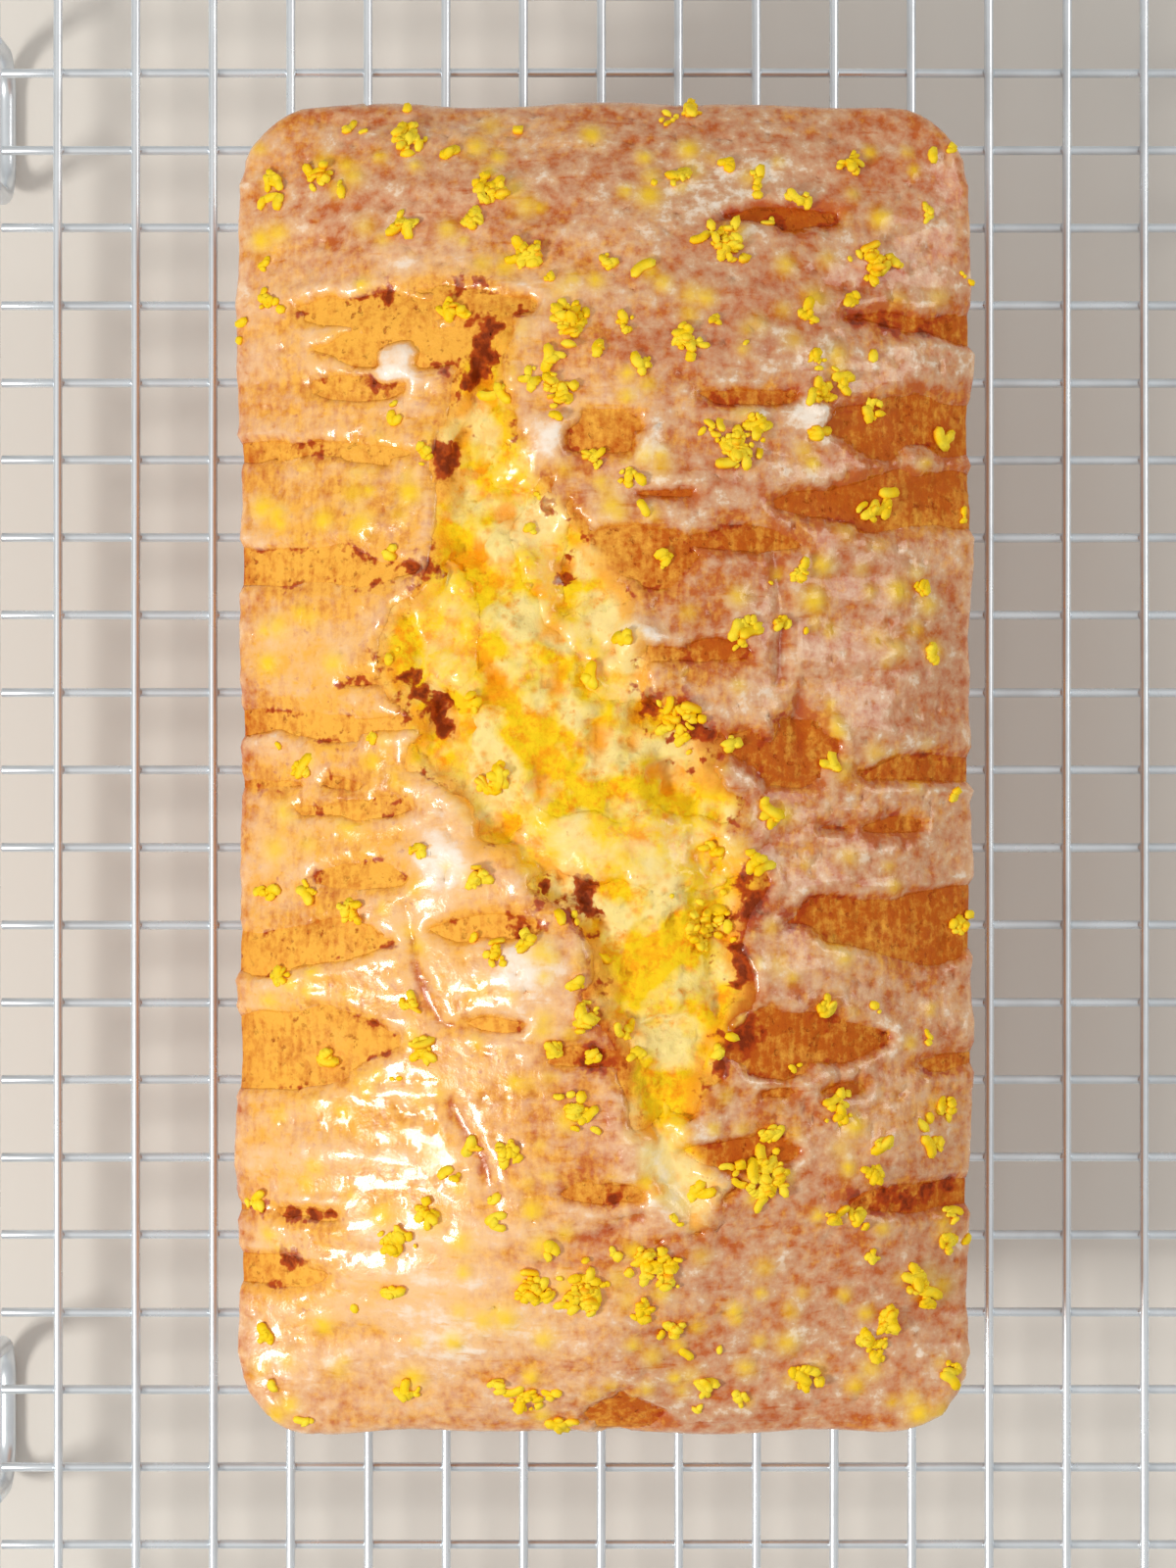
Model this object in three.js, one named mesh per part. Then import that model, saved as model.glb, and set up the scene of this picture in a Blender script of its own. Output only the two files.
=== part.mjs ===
// A glazed lemon loaf resting on a wire cooling rack.
//
// Millimetres, +Z up. The origin is on the surface that the rack stands on, under the middle of
// the rack. Y runs along the loaf and the rack, X across them.
//
// The rack is welded from round wire: one thick wire bent into a rounded rectangle, a grid of
// thin wires in two layers, and four bent feet. The loaf is one baked piece that stands on the
// upper layer, and the glaze is a thin skin that was poured over it.

import * as THREE from "three";

// Rack, overall
const RACK_WIDTH = 216;
const RACK_LENGTH = 305;
const RACK_TOP = 25.4; // top of the upper wires above the surface
const CORNER_BEND = 16; // centreline radius of the frame's corners

// Wires
const FRAME_WIRE = 3.0; // diameters
const FOOT_WIRE = 3.0;
const GRID_WIRE = 1.5;
const PITCH = 12.7; // spacing of the grid wires, both ways
const LONG_WIRES = 16;
const CROSS_WIRES = 23;
const END_OVERLAP = 0.9; // how far a long wire runs past the frame's centreline
const WELD_GAP = 0.1; // clearance that stands for a weld between two wires
const BUTT_GAP = 0.3; // the same where a cross wire's end meets the frame

// Feet
const FOOT_SPAN = 24; // between the two legs of a foot
const FOOT_BEND = 7;
const FOOT_FROM_MIDDLE = 108; // along Y, from the rack's middle to a foot's middle

// Loaf, measured from its own base
const LOAF_FROM_MIDDLE = -6; // along X
const LOAF_GAP = 0.1; // between the loaf's base and the wires
const BASE = { across: 46.5, along: 92.2, corner: 11 }; // half sizes and corner radius
const RIM = { across: 55.8, along: 101.5, corner: 14 };
const BASE_EDGE = 3; // radius where the base turns up into the side
const RIM_HEIGHT = 47;
const CROWN_HEIGHT = 68;
const CROWN_ACROSS_POWER = 2.2; // how flat the crown is before it falls to the rim
const CROWN_ALONG_POWER = 5;

// Glaze
const GLAZE_GAP = 0.7; // between the glaze and the crust
const GLAZE_SKIN = 1.0;
const SHORTEST_DRIP = 6; // down the side from the rim
const LONGEST_DRIP = 17;

// Faces
const WIRE_SIDES = 12;
const BEND_STEPS = 6;
const CORNER_STEPS = 5;
const SIDE_STEPS = 11;
const END_STEPS = 7;
const CROWN_REACHES = [1, 0.985, 0.95, 0.88, 0.77, 0.62, 0.45, 0.25];
const SLOPE_STEP = 0.01; // of the reach, over which the crown's slope is taken

const frameAcross = (RACK_WIDTH - FRAME_WIRE) / 2;
const frameAlong = (RACK_LENGTH - FRAME_WIRE) / 2;
const longWireZ = RACK_TOP - GRID_WIRE / 2;
const crossWireZ = longWireZ - GRID_WIRE - WELD_GAP;
const frameZ = longWireZ - GRID_WIRE / 2 - WELD_GAP - FRAME_WIRE / 2;

const steel = new THREE.MeshStandardMaterial({
  color: 0xc9ccce,
  roughness: 0.25,
  metalness: 1,
});
const crust = new THREE.MeshStandardMaterial({
  color: 0xd08a3a,
  roughness: 0.75,
  metalness: 0,
});
const icing = new THREE.MeshStandardMaterial({
  color: 0xe3bfa2,
  roughness: 0.2,
  metalness: 0,
});

function named(name, geometry, material) {
  const mesh = new THREE.Mesh(geometry, material);
  mesh.name = name;
  return mesh;
}

// The centreline of a wire bent at right angles. It is sampled only at the ends of its straight
// runs and along its bends.
class BentWire extends THREE.Curve {
  constructor(corners, bendRadius, closed) {
    super();
    this.stations = [];
    const count = corners.length;
    const before = (i) => corners[(i + count - 1) % count];
    const after = (i) => corners[(i + 1) % count];
    corners.forEach((corner, i) => {
      const arriving = corner.clone().sub(before(i)).normalize();
      const leaving = after(i).clone().sub(corner).normalize();
      if (!closed && i === 0) {
        this.stations.push({ point: corner, tangent: leaving });
      } else if (!closed && i === count - 1) {
        this.stations.push({ point: corner, tangent: arriving });
      } else {
        this.bend(corner, arriving, leaving, bendRadius);
      }
    });
    if (closed) this.stations.push(this.stations[0]);
  }

  bend(corner, arriving, leaving, radius) {
    const centre = corner
      .clone()
      .addScaledVector(arriving, -radius)
      .addScaledVector(leaving, radius);
    for (let step = 0; step <= BEND_STEPS; step++) {
      const turn = (step / BEND_STEPS) * (Math.PI / 2);
      this.stations.push({
        point: centre
          .clone()
          .addScaledVector(leaving, -radius * Math.cos(turn))
          .addScaledVector(arriving, radius * Math.sin(turn)),
        tangent: arriving
          .clone()
          .multiplyScalar(Math.cos(turn))
          .addScaledVector(leaving, Math.sin(turn)),
      });
    }
  }

  get steps() {
    return this.stations.length - 1;
  }

  getPointAt(u) {
    return this.stations[Math.round(u * this.steps)].point.clone();
  }

  getTangentAt(u) {
    return this.stations[Math.round(u * this.steps)].tangent.clone();
  }
}

// ---- Rack ----

// Half the frame's centreline length at a distance from the middle of the other direction,
// allowing for the rounded corners.
function frameReach(distance, half, otherHalf) {
  const intoCorner = Math.abs(distance) - (otherHalf - CORNER_BEND);
  if (intoCorner <= 0) return half;
  return half - CORNER_BEND + Math.sqrt(CORNER_BEND ** 2 - intoCorner ** 2);
}

function frameWire() {
  const corners = [
    new THREE.Vector3(-frameAcross, -frameAlong, 0),
    new THREE.Vector3(frameAcross, -frameAlong, 0),
    new THREE.Vector3(frameAcross, frameAlong, 0),
    new THREE.Vector3(-frameAcross, frameAlong, 0),
  ];
  const path = new BentWire(corners, CORNER_BEND, true);
  const tube = new THREE.TubeGeometry(path, path.steps, FRAME_WIRE / 2, WIRE_SIDES, true);
  const frame = named("frame_wire", tube, steel);
  frame.position.z = frameZ;
  return frame;
}

function straightWire(name, length) {
  const rod = new THREE.CylinderGeometry(GRID_WIRE / 2, GRID_WIRE / 2, length, WIRE_SIDES);
  return named(name, rod, steel);
}

const numbered = (stem, index) => `${stem}_${String(index + 1).padStart(2, "0")}`;
const placed = (index, count) => (index - (count - 1) / 2) * PITCH;

// The upper layer: wires along Y whose ends lie on the frame.
function longWire(index) {
  const x = placed(index, LONG_WIRES);
  const half = frameReach(x, frameAlong, frameAcross) + END_OVERLAP;
  const wire = straightWire(numbered("long_wire", index), 2 * half);
  wire.position.set(x, 0, longWireZ);
  return wire;
}

// The lower layer: wires along X whose ends meet the inside of the frame.
function crossWire(index) {
  const y = placed(index, CROSS_WIRES);
  const nearEdge = Math.abs(y) + GRID_WIRE / 2;
  const half = frameReach(nearEdge, frameAcross, frameAlong) - FRAME_WIRE / 2 - BUTT_GAP;
  const wire = straightWire(numbered("cross_wire", index), 2 * half);
  wire.position.set(0, y, crossWireZ);
  wire.rotation.z = Math.PI / 2;
  return wire;
}

// A foot: a wire bent into a U, open at the top, that stands under a long side of the frame.
// Its section has flat sides below and above, so that it rests on a face.
function foot(name, x, y) {
  const flat = (FOOT_WIRE / 2) * Math.cos(Math.PI / WIRE_SIDES);
  const top = frameZ - FRAME_WIRE / 2 - WELD_GAP;
  const path = new BentWire(
    [
      new THREE.Vector3(0, -FOOT_SPAN / 2, top),
      new THREE.Vector3(0, -FOOT_SPAN / 2, flat),
      new THREE.Vector3(0, FOOT_SPAN / 2, flat),
      new THREE.Vector3(0, FOOT_SPAN / 2, top),
    ],
    FOOT_BEND,
    false,
  );
  const corners = Array.from({ length: WIRE_SIDES }, (_, i) => {
    const angle = ((i + 0.5) / WIRE_SIDES) * 2 * Math.PI;
    return new THREE.Vector2(Math.cos(angle), Math.sin(angle)).multiplyScalar(FOOT_WIRE / 2);
  });
  const bar = new THREE.ExtrudeGeometry(new THREE.Shape(corners), {
    steps: path.steps,
    extrudePath: path,
    bevelEnabled: false,
  });
  const mesh = named(name, bar, steel);
  mesh.position.set(x, y, 0);
  return mesh;
}

function rack() {
  const group = new THREE.Group();
  group.add(frameWire());
  for (let i = 0; i < LONG_WIRES; i++) group.add(longWire(i));
  for (let i = 0; i < CROSS_WIRES; i++) group.add(crossWire(i));
  for (const [end, y] of [["front", -FOOT_FROM_MIDDLE], ["back", FOOT_FROM_MIDDLE]])
    for (const [side, x] of [["left", -frameAcross], ["right", frameAcross]])
      group.add(foot(`foot_${end}_${side}`, x, y));
  return group;
}

// ---- Loaf ----

// Where each step round the loaf lies on a rounded rectangle: a corner's arc or a straight run.
const outlineSteps = (() => {
  const steps = [];
  const corners = [[1, -1], [1, 1], [-1, 1], [-1, -1]];
  corners.forEach(([sideX, sideY], i) => {
    const start = (i - 1) * (Math.PI / 2);
    for (let k = 0; k <= CORNER_STEPS; k++)
      steps.push({ sideX, sideY, angle: start + (k / CORNER_STEPS) * (Math.PI / 2), run: 0 });
    const [nextX, nextY] = corners[(i + 1) % corners.length];
    const runSteps = nextX === sideX ? SIDE_STEPS : END_STEPS;
    for (let k = 1; k < runSteps; k++)
      steps.push({ sideX, sideY, nextX, nextY, angle: start + Math.PI / 2, run: k / runSteps });
  });
  return steps;
})();

// The point at one step round a rounded rectangle.
function outlinePoint({ sideX, sideY, nextX, nextY, angle, run }, { across, along, corner }) {
  const cornerPoint = (x, y) => [
    x * (across - corner) + corner * Math.cos(angle),
    y * (along - corner) + corner * Math.sin(angle),
  ];
  const here = cornerPoint(sideX, sideY);
  if (run === 0) return here;
  const next = cornerPoint(nextX, nextY);
  return here.map((value, axis) => THREE.MathUtils.lerp(value, next[axis], run));
}

// The loaf's outline and the way its surface faces, at a height on its side.
function sideLevel(height) {
  const share = height / RIM_HEIGHT;
  const lean = Math.atan2(RIM.across - BASE.across, RIM_HEIGHT);
  return {
    across: THREE.MathUtils.lerp(BASE.across, RIM.across, share),
    along: THREE.MathUtils.lerp(BASE.along, RIM.along, share),
    corner: THREE.MathUtils.lerp(BASE.corner, RIM.corner, share),
    height,
    out: Math.cos(lean),
    up: -Math.sin(lean),
  };
}

// How far the crown stands above the rim at a point of the plan.
function crownRise(x, y) {
  const across = 1 - (Math.abs(x) / RIM.across) ** CROWN_ACROSS_POWER;
  const along = 1 - (Math.abs(y) / RIM.along) ** CROWN_ALONG_POWER;
  return (CROWN_HEIGHT - RIM_HEIGHT) * across * along;
}

const shrunk = (reach) => ({
  across: RIM.across * reach,
  along: RIM.along * reach,
  corner: RIM.corner * reach,
});

// The same on the crown at one step round, where reach falls from 1 at the rim to 0 at the top.
function crownLevel(step, reach) {
  const here = outlinePoint(step, shrunk(reach));
  const inside = outlinePoint(step, shrunk(reach - SLOPE_STEP));
  const fall = crownRise(...inside) - crownRise(...here);
  const steepness = Math.atan2(fall, Math.hypot(here[0] - inside[0], here[1] - inside[1]));
  const atRim = reach === 1; // a corner between the side and the crown, so it faces both ways
  return {
    ...shrunk(reach),
    height: RIM_HEIGHT + crownRise(...here),
    out: atRim ? 1 : Math.sin(steepness),
    up: atRim ? 1 : Math.cos(steepness),
  };
}

// A closed surface through one outline after another. levels(step) gives them from the lowest
// to the highest for one step round, and every step has the same number.
function loft(levels) {
  const columns = outlineSteps.map(levels);
  const rows = columns[0].length;
  const profile = Array.from({ length: rows }, () => new THREE.Vector2(1, 0));
  const geometry = new THREE.LatheGeometry(profile, columns.length);
  const position = geometry.getAttribute("position");
  for (let i = 0; i < position.count; i++) {
    const column = Math.floor(i / rows) % columns.length;
    const level = columns[column][i % rows];
    const [x, y] = outlinePoint(outlineSteps[column], level);
    position.setXYZ(i, x, y, level.height);
  }
  geometry.computeVertexNormals();
  return geometry;
}

const point = (height) => ({ across: 0, along: 0, corner: 0, height });
const crownLevels = (step) => CROWN_REACHES.map((reach) => crownLevel(step, reach));

function loaf() {
  const flat = { ...BASE, across: BASE.across - BASE_EDGE, along: BASE.along - BASE_EDGE };
  const levels = (step) => [
    point(0),
    { ...flat, corner: BASE.corner - BASE_EDGE, height: 0 },
    sideLevel(BASE_EDGE),
    sideLevel(RIM_HEIGHT / 3),
    sideLevel((RIM_HEIGHT * 2) / 3),
    ...crownLevels(step),
    point(CROWN_HEIGHT),
  ];
  return named("loaf", loft(levels), crust);
}

// How far the glaze has run down the side, at one step round the loaf.
function dripLength(step) {
  const [x, y] = outlinePoint(step, RIM);
  const waves = Math.sin(x / 7 + y / 11) + Math.sin(y / 5.3 + 1) + Math.sin(x / 4.1 + y / 17 + 2);
  const share = 0.5 + waves / 6;
  return THREE.MathUtils.lerp(SHORTEST_DRIP, LONGEST_DRIP, share);
}

function grown(level, by) {
  const wider = by * level.out;
  return {
    ...level,
    across: level.across + wider,
    along: level.along + wider,
    corner: level.corner + wider,
    height: level.height + by * level.up,
  };
}

// The glaze: a skin over the crown and the top of the sides, with a wavy lower edge.
function glaze() {
  const levels = (step) => {
    const drip = dripLength(step);
    const skin = [
      sideLevel(RIM_HEIGHT - drip),
      sideLevel(RIM_HEIGHT - drip / 2),
      ...crownLevels(step),
    ];
    const inner = skin.map((level) => grown(level, GLAZE_GAP)).reverse();
    const outer = skin.map((level) => grown(level, GLAZE_GAP + GLAZE_SKIN));
    return [
      point(CROWN_HEIGHT + GLAZE_GAP),
      ...inner,
      ...outer,
      point(CROWN_HEIGHT + GLAZE_GAP + GLAZE_SKIN),
    ];
  };
  return named("glaze", loft(levels), icing);
}

const glazedLoaf = new THREE.Group();
glazedLoaf.add(loaf(), glaze());
glazedLoaf.position.set(LOAF_FROM_MIDDLE, 0, RACK_TOP + LOAF_GAP);

const loafOnRack = new THREE.Group();
loafOnRack.add(rack(), glazedLoaf);

export default loafOnRack;
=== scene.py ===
"""A glazed lemon loaf with a split crown, resting on a wire cooling rack.

Metres, +Z up. The frame gives the place and size of every piece. The loaf's own points are
measured from the middle of its base: X across it, Y along it.
"""

import contextlib
import math
import random

import bmesh
import bpy
import numpy as np
from bpy.props import FloatProperty, FloatVectorProperty, IntProperty, PointerProperty
from mathutils import Matrix, Vector, kdtree, noise
from mathutils.bvhtree import BVHTree


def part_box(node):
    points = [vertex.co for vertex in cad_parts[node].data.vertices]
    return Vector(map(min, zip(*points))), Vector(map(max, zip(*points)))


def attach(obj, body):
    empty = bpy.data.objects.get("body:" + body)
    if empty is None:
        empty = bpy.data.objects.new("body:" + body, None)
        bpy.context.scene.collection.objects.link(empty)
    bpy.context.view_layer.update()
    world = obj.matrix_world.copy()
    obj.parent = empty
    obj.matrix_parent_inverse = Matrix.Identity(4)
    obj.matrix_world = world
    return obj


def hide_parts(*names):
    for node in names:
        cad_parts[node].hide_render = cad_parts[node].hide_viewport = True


bl_info = {
    "name": "Lemon Loaf on a Rack",
    "version": (1, 0, 0),
    "blender": (4, 5, 0),
    "location": "View3D > Sidebar > Lemon Loaf",
    "description": "Builds a glazed lemon loaf and its wire cooling rack around a packed frame",
    "category": "Add Mesh",
}

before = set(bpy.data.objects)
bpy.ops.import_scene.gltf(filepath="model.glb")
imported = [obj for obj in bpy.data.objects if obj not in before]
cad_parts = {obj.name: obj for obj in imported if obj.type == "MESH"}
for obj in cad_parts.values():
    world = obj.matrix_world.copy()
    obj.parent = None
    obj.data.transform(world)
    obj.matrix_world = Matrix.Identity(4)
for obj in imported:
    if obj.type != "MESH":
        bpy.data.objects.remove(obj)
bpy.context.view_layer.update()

LOAF_LOW, LOAF_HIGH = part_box("loaf")
LOAF_PLACE = Vector(((LOAF_LOW.x + LOAF_HIGH.x) / 2, (LOAF_LOW.y + LOAF_HIGH.y) / 2, LOAF_LOW.z))
LOAF_ACROSS = (LOAF_HIGH.x - LOAF_LOW.x) / 2
LOAF_ALONG = (LOAF_HIGH.y - LOAF_LOW.y) / 2
LOAF_HEIGHT = LOAF_HIGH.z - LOAF_LOW.z
LONG_WIRES = sorted(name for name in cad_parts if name.startswith("long_wire"))
CROSS_WIRES = sorted(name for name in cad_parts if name.startswith("cross_wire"))
FEET = sorted(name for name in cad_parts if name.startswith("foot"))

# The split in the crown: along the loaf, across it, and how wide it has opened there.
SPLIT = (
    (-0.070, 0.0140, 0.000),
    (-0.062, 0.0120, 0.011),
    (-0.053, 0.0080, 0.009),
    (-0.043, 0.0105, 0.012),
    (-0.034, 0.0107, 0.022),
    (-0.024, 0.0090, 0.023),
    (-0.017, 0.0050, 0.034),
    (-0.007, -0.0020, 0.042),
    (0.004, -0.0060, 0.044),
    (0.015, -0.0140, 0.040),
    (0.027, -0.0130, 0.031),
    (0.036, -0.0145, 0.021),
    (0.050, -0.0195, 0.010),
    (0.064, -0.0170, 0.004),
    (0.069, -0.0165, 0.000),
)

# Streaks that the glaze left bare: from and to across the loaf, along it, and half its breadth.
BARE_STREAKS = (
    (-0.049, -0.010, 0.0700, 0.0030),
    (-0.046, -0.014, 0.0640, 0.0026),
    (-0.044, -0.030, 0.0582, 0.0012),
    (-0.052, -0.025, 0.0481, 0.0013),
    (-0.054, -0.028, 0.0307, 0.0034),
    (-0.048, -0.028, 0.0137, 0.0008),
    (-0.054, -0.027, 0.0067, 0.0018),
    (-0.051, -0.035, -0.0029, 0.0008),
    (-0.048, -0.026, -0.0061, 0.0012),
    (-0.044, -0.030, -0.0164, 0.0018),
    (-0.055, -0.030, -0.0262, 0.0034),
    (-0.026, -0.010, -0.0236, 0.0018),
    (-0.056, -0.031, -0.0416, 0.0066),
    (-0.055, -0.040, -0.0674, 0.0010),
    (-0.053, -0.042, -0.0764, 0.0024),
    (0.017, 0.035, 0.0826, 0.0010),
    (0.036, 0.056, 0.0676, 0.0018),
    (0.014, 0.034, 0.0560, 0.0012),
    (0.030, 0.056, 0.0520, 0.0046),
    (0.025, 0.055, 0.0396, 0.0042),
    (-0.006, 0.006, 0.0498, 0.0030),
    (0.000, 0.013, 0.0410, 0.0006),
    (-0.005, 0.014, 0.0312, 0.0042),
    (0.012, 0.030, 0.0335, 0.0016),
    (-0.001, 0.021, 0.0172, 0.0010),
    (0.018, 0.036, 0.0036, 0.0038),
    (0.036, 0.055, -0.0001, 0.0016),
    (0.031, 0.050, -0.0087, 0.0009),
    (0.025, 0.055, -0.0230, 0.0046),
    (0.017, 0.043, -0.0405, 0.0042),
    (0.020, 0.040, -0.0480, 0.0010),
    (0.044, 0.056, -0.0445, 0.0009),
    (0.012, 0.030, -0.0564, 0.0021),
    (0.035, 0.055, -0.0648, 0.0023),
    (-0.003, 0.009, -0.0990, 0.0026),
    (-0.0225, -0.004, -0.0378, 0.0010),
    (-0.008, 0.004, -0.0440, 0.0014),
    (-0.007, 0.006, -0.0635, 0.0012),
)

SIDE_STREAK = 0.050  # a streak that starts or ends further out than this runs on over the rim

# Where the glaze lies thick and white: across, along, radius, and how much it adds.
THICK_SPOTS = (
    (-0.031, 0.0607, 0.0042, 1.1),
    (-0.008, 0.049, 0.0030, 1.1),
    (0.006, 0.049, 0.0030, 1.1),
    (0.031, 0.054, 0.0035, 1.1),
    # The next two spots lie where the glaze shines: thick white glaze, and a painted highlight as
    # well.
    (-0.0240, -0.0135, 0.0050, 1.3),
    (-0.012, -0.030, 0.0050, 1.1),
    (0.009, -0.059, 0.0060, 0.8),
    (0.004, 0.019, 0.0030, 1.1),
    (0.024, 0.006, 0.0030, 1.1),
    (-0.027, -0.083, 0.0090, 0.5),
    (-0.048, -0.090, 0.0060, 0.4),
    (0.020, 0.088, 0.0120, 0.3),
)

BRIDGING = 1.0  # a spot that adds more than this also covers the streaks that it meets

# Places that baked to dark caramel, by the split and in the streaks: across, along, and radius.
SCORCHES = (
    (-0.0170, 0.0660, 0.0018),
    (-0.0180, 0.0635, 0.0020),
    (-0.0186, 0.0612, 0.0022),
    (-0.0127, 0.0680, 0.0011),
    (-0.0203, 0.0582, 0.0015),
    (-0.0244, 0.0588, 0.0011),
    (-0.0332, 0.0734, 0.0011),
    (-0.0328, 0.0715, 0.0014),
    (-0.0220, 0.0732, 0.0010),
    (-0.0190, 0.0728, 0.0010),
    (-0.0114, 0.0560, 0.0010),
    (-0.0242, 0.0465, 0.0024),
    (-0.0281, 0.0306, 0.0022),
    (-0.0289, 0.0134, 0.0015),
    (-0.0272, 0.0113, 0.0014),
    (-0.0250, 0.0092, 0.0020),
    (-0.0242, 0.0058, 0.0014),
    (0.0135, 0.0084, 0.0036),
    (0.0068, 0.0100, 0.0022),
    (0.0254, 0.0164, 0.0012),
    (0.0175, 0.0822, 0.0014),
    (0.0215, 0.0815, 0.0013),
    (0.0262, 0.0815, 0.0015),
    (0.0315, 0.0808, 0.0013),
    (0.0375, 0.0680, 0.0015),
    (0.0425, 0.0672, 0.0017),
    (0.0480, 0.0655, 0.0015),
    (0.0375, -0.0640, 0.0011),
    (0.0420, -0.0642, 0.0015),
    (0.0455, -0.0655, 0.0015),
    (0.0490, -0.0638, 0.0017),
    (0.0525, -0.0632, 0.0015),
    (-0.0069, -0.0250, 0.0044),
    (-0.0045, -0.0294, 0.0030),
    (-0.0030, -0.0180, 0.0024),
    (0.0231, -0.0213, 0.0048),
    (0.0268, -0.0168, 0.0030),
    (0.0208, -0.0285, 0.0030),
    (0.0209, -0.0401, 0.0026),
    (-0.0347, 0.0585, 0.0013),
    (-0.0025, -0.0206, 0.0018),
    (0.0173, -0.0448, 0.0017),
    (-0.0084, 0.0387, 0.0015),
    (-0.0062, 0.0284, 0.0014),
    (-0.0521, -0.0675, 0.0013),
    (-0.0474, -0.0675, 0.0010),
    (-0.0441, -0.0676, 0.0012),
    (-0.0412, -0.0674, 0.0009),
    (-0.0480, -0.0745, 0.0018),
    (-0.0146, -0.0430, 0.0017),
    (-0.0015, -0.0432, 0.0022),
    (-0.0290, -0.0205, 0.0012),
    (0.0010, -0.0645, 0.0014),
)

# Furrows in the crust: points across and along.
FURROWS = (
    ((-0.0230, -0.0500), (-0.0185, -0.0580), (-0.0161, -0.0661)),
    ((-0.0291, -0.0213), (-0.0281, -0.0301), (-0.0245, -0.0382), (-0.0171, -0.0389)),
    ((0.0253, 0.0328), (0.0260, 0.0230), (0.0262, 0.0140)),
    ((0.0290, 0.0110), (0.0294, 0.0030)),
    ((0.0060, -0.0660), (-0.0020, -0.0700), (-0.0100, -0.0690)),
)

# Glaze that has pooled on the crumb of the split: across, along, half length and half breadth.
POOLS = (
    (0.002, -0.012, 0.021, 0.0058),
    (-0.025, -0.010, 0.007, 0.0060),
    (0.010, -0.060, 0.009, 0.0085),
    (-0.024, 0.021, 0.005, 0.0090),
    (0.004, 0.0132, 0.0065, 0.0034),
    (-0.012, 0.045, 0.005, 0.0050),
    (-0.009, 0.033, 0.0036, 0.0110),
    (0.003, 0.020, 0.009, 0.0042),
)

# Heaps of zest: across, along, radius and fullness.
ZEST_HEAPS = (
    (0.024, -0.061, 0.0045, 34),
    (-0.003, -0.078, 0.0042, 30),
    (0.008, -0.075, 0.0035, 22),
    (-0.011, -0.078, 0.0030, 18),
    (0.020, 0.048, 0.0042, 28),
    (0.032, 0.056, 0.0025, 12),
    (-0.011, 0.077, 0.0028, 16),
    (0.012, 0.064, 0.0028, 14),
    (-0.005, 0.066, 0.0028, 14),
    (-0.017, 0.087, 0.0025, 14),
    (-0.030, 0.096, 0.0030, 16),
    (-0.030, 0.082, 0.0020, 8),
    (-0.043, 0.090, 0.0020, 8),
    (0.018, 0.079, 0.0038, 20),
    (0.041, 0.076, 0.0030, 16),
    (0.011, 0.007, 0.0040, 20),
    (0.015, -0.024, 0.0050, 22),
    (-0.031, -0.071, 0.0025, 14),
    (-0.038, -0.021, 0.0022, 10),
    (-0.007, 0.056, 0.0030, 14),
    (-0.023, 0.069, 0.0028, 12),
    (-0.003, -0.037, 0.0025, 12),
    (-0.004, -0.051, 0.0030, 14),
    (0.043, -0.084, 0.0020, 8),
    (0.030, -0.092, 0.0023, 10),
    (-0.012, -0.096, 0.0023, 10),
    (0.010, -0.084, 0.0022, 8),
    (0.038, 0.092, 0.0020, 6),
    (-0.0187, -0.0168, 0.0022, 8),
    (-0.016, -0.0276, 0.0025, 9),
    (-0.027, -0.042, 0.0022, 8),
    (-0.027, -0.0665, 0.0022, 8),
    (-0.014, -0.057, 0.0022, 7),
)


# ---- Settings ----


def length(name, description, default):
    return FloatProperty(
        name=name, description=description, default=default, min=0.0, unit="LENGTH", precision=4
    )


def colour(name, description, default):
    return FloatVectorProperty(
        name=name, description=description, default=default, size=3, subtype="COLOR", min=0, max=1
    )


class LemonLoafSizes(bpy.types.PropertyGroup):
    rim_height: length("Rim height", "Height of the tin's rim above the loaf's base", 0.047)
    taper: length("Taper", "How far each side leans out from base to rim", 0.0093)
    corner: length("Corner", "Radius of the loaf's upright corners", 0.013)
    base_edge: length("Base edge", "Radius where the base turns up into the sides", 0.003)
    mesh_size: length("Mesh size", "Size of the faces of the loaf's surface", 0.00094)
    split_depth: length("Split depth", "How far the crumb lies below the torn crust", 0.0026)
    lip: length("Lip", "How far the torn crust curls up", 0.0013)
    glaze: length("Glaze", "Thickness of the glaze", 0.0011)
    glaze_edge: length("Glaze edge", "Breadth over which the glaze thins to its edge", 0.0016)
    glaze_film: length("Glaze film", "Thickness of the glaze at its very edge", 0.00009)
    drip: length("Drip", "How far the longest drips run down the sides", 0.026)
    shred: length("Shred", "Length of a shred of zest", 0.0029)
    grain: length("Grain", "Radius of a grain of zest", 0.00075)
    loose_zest: IntProperty(
        name="Loose zest", description="Pieces of zest scattered outside the heaps", default=860, min=0
    )
    buried_zest: IntProperty(
        name="Buried zest", description="Grains of zest that lie under the glaze", default=430, min=0
    )


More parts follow.
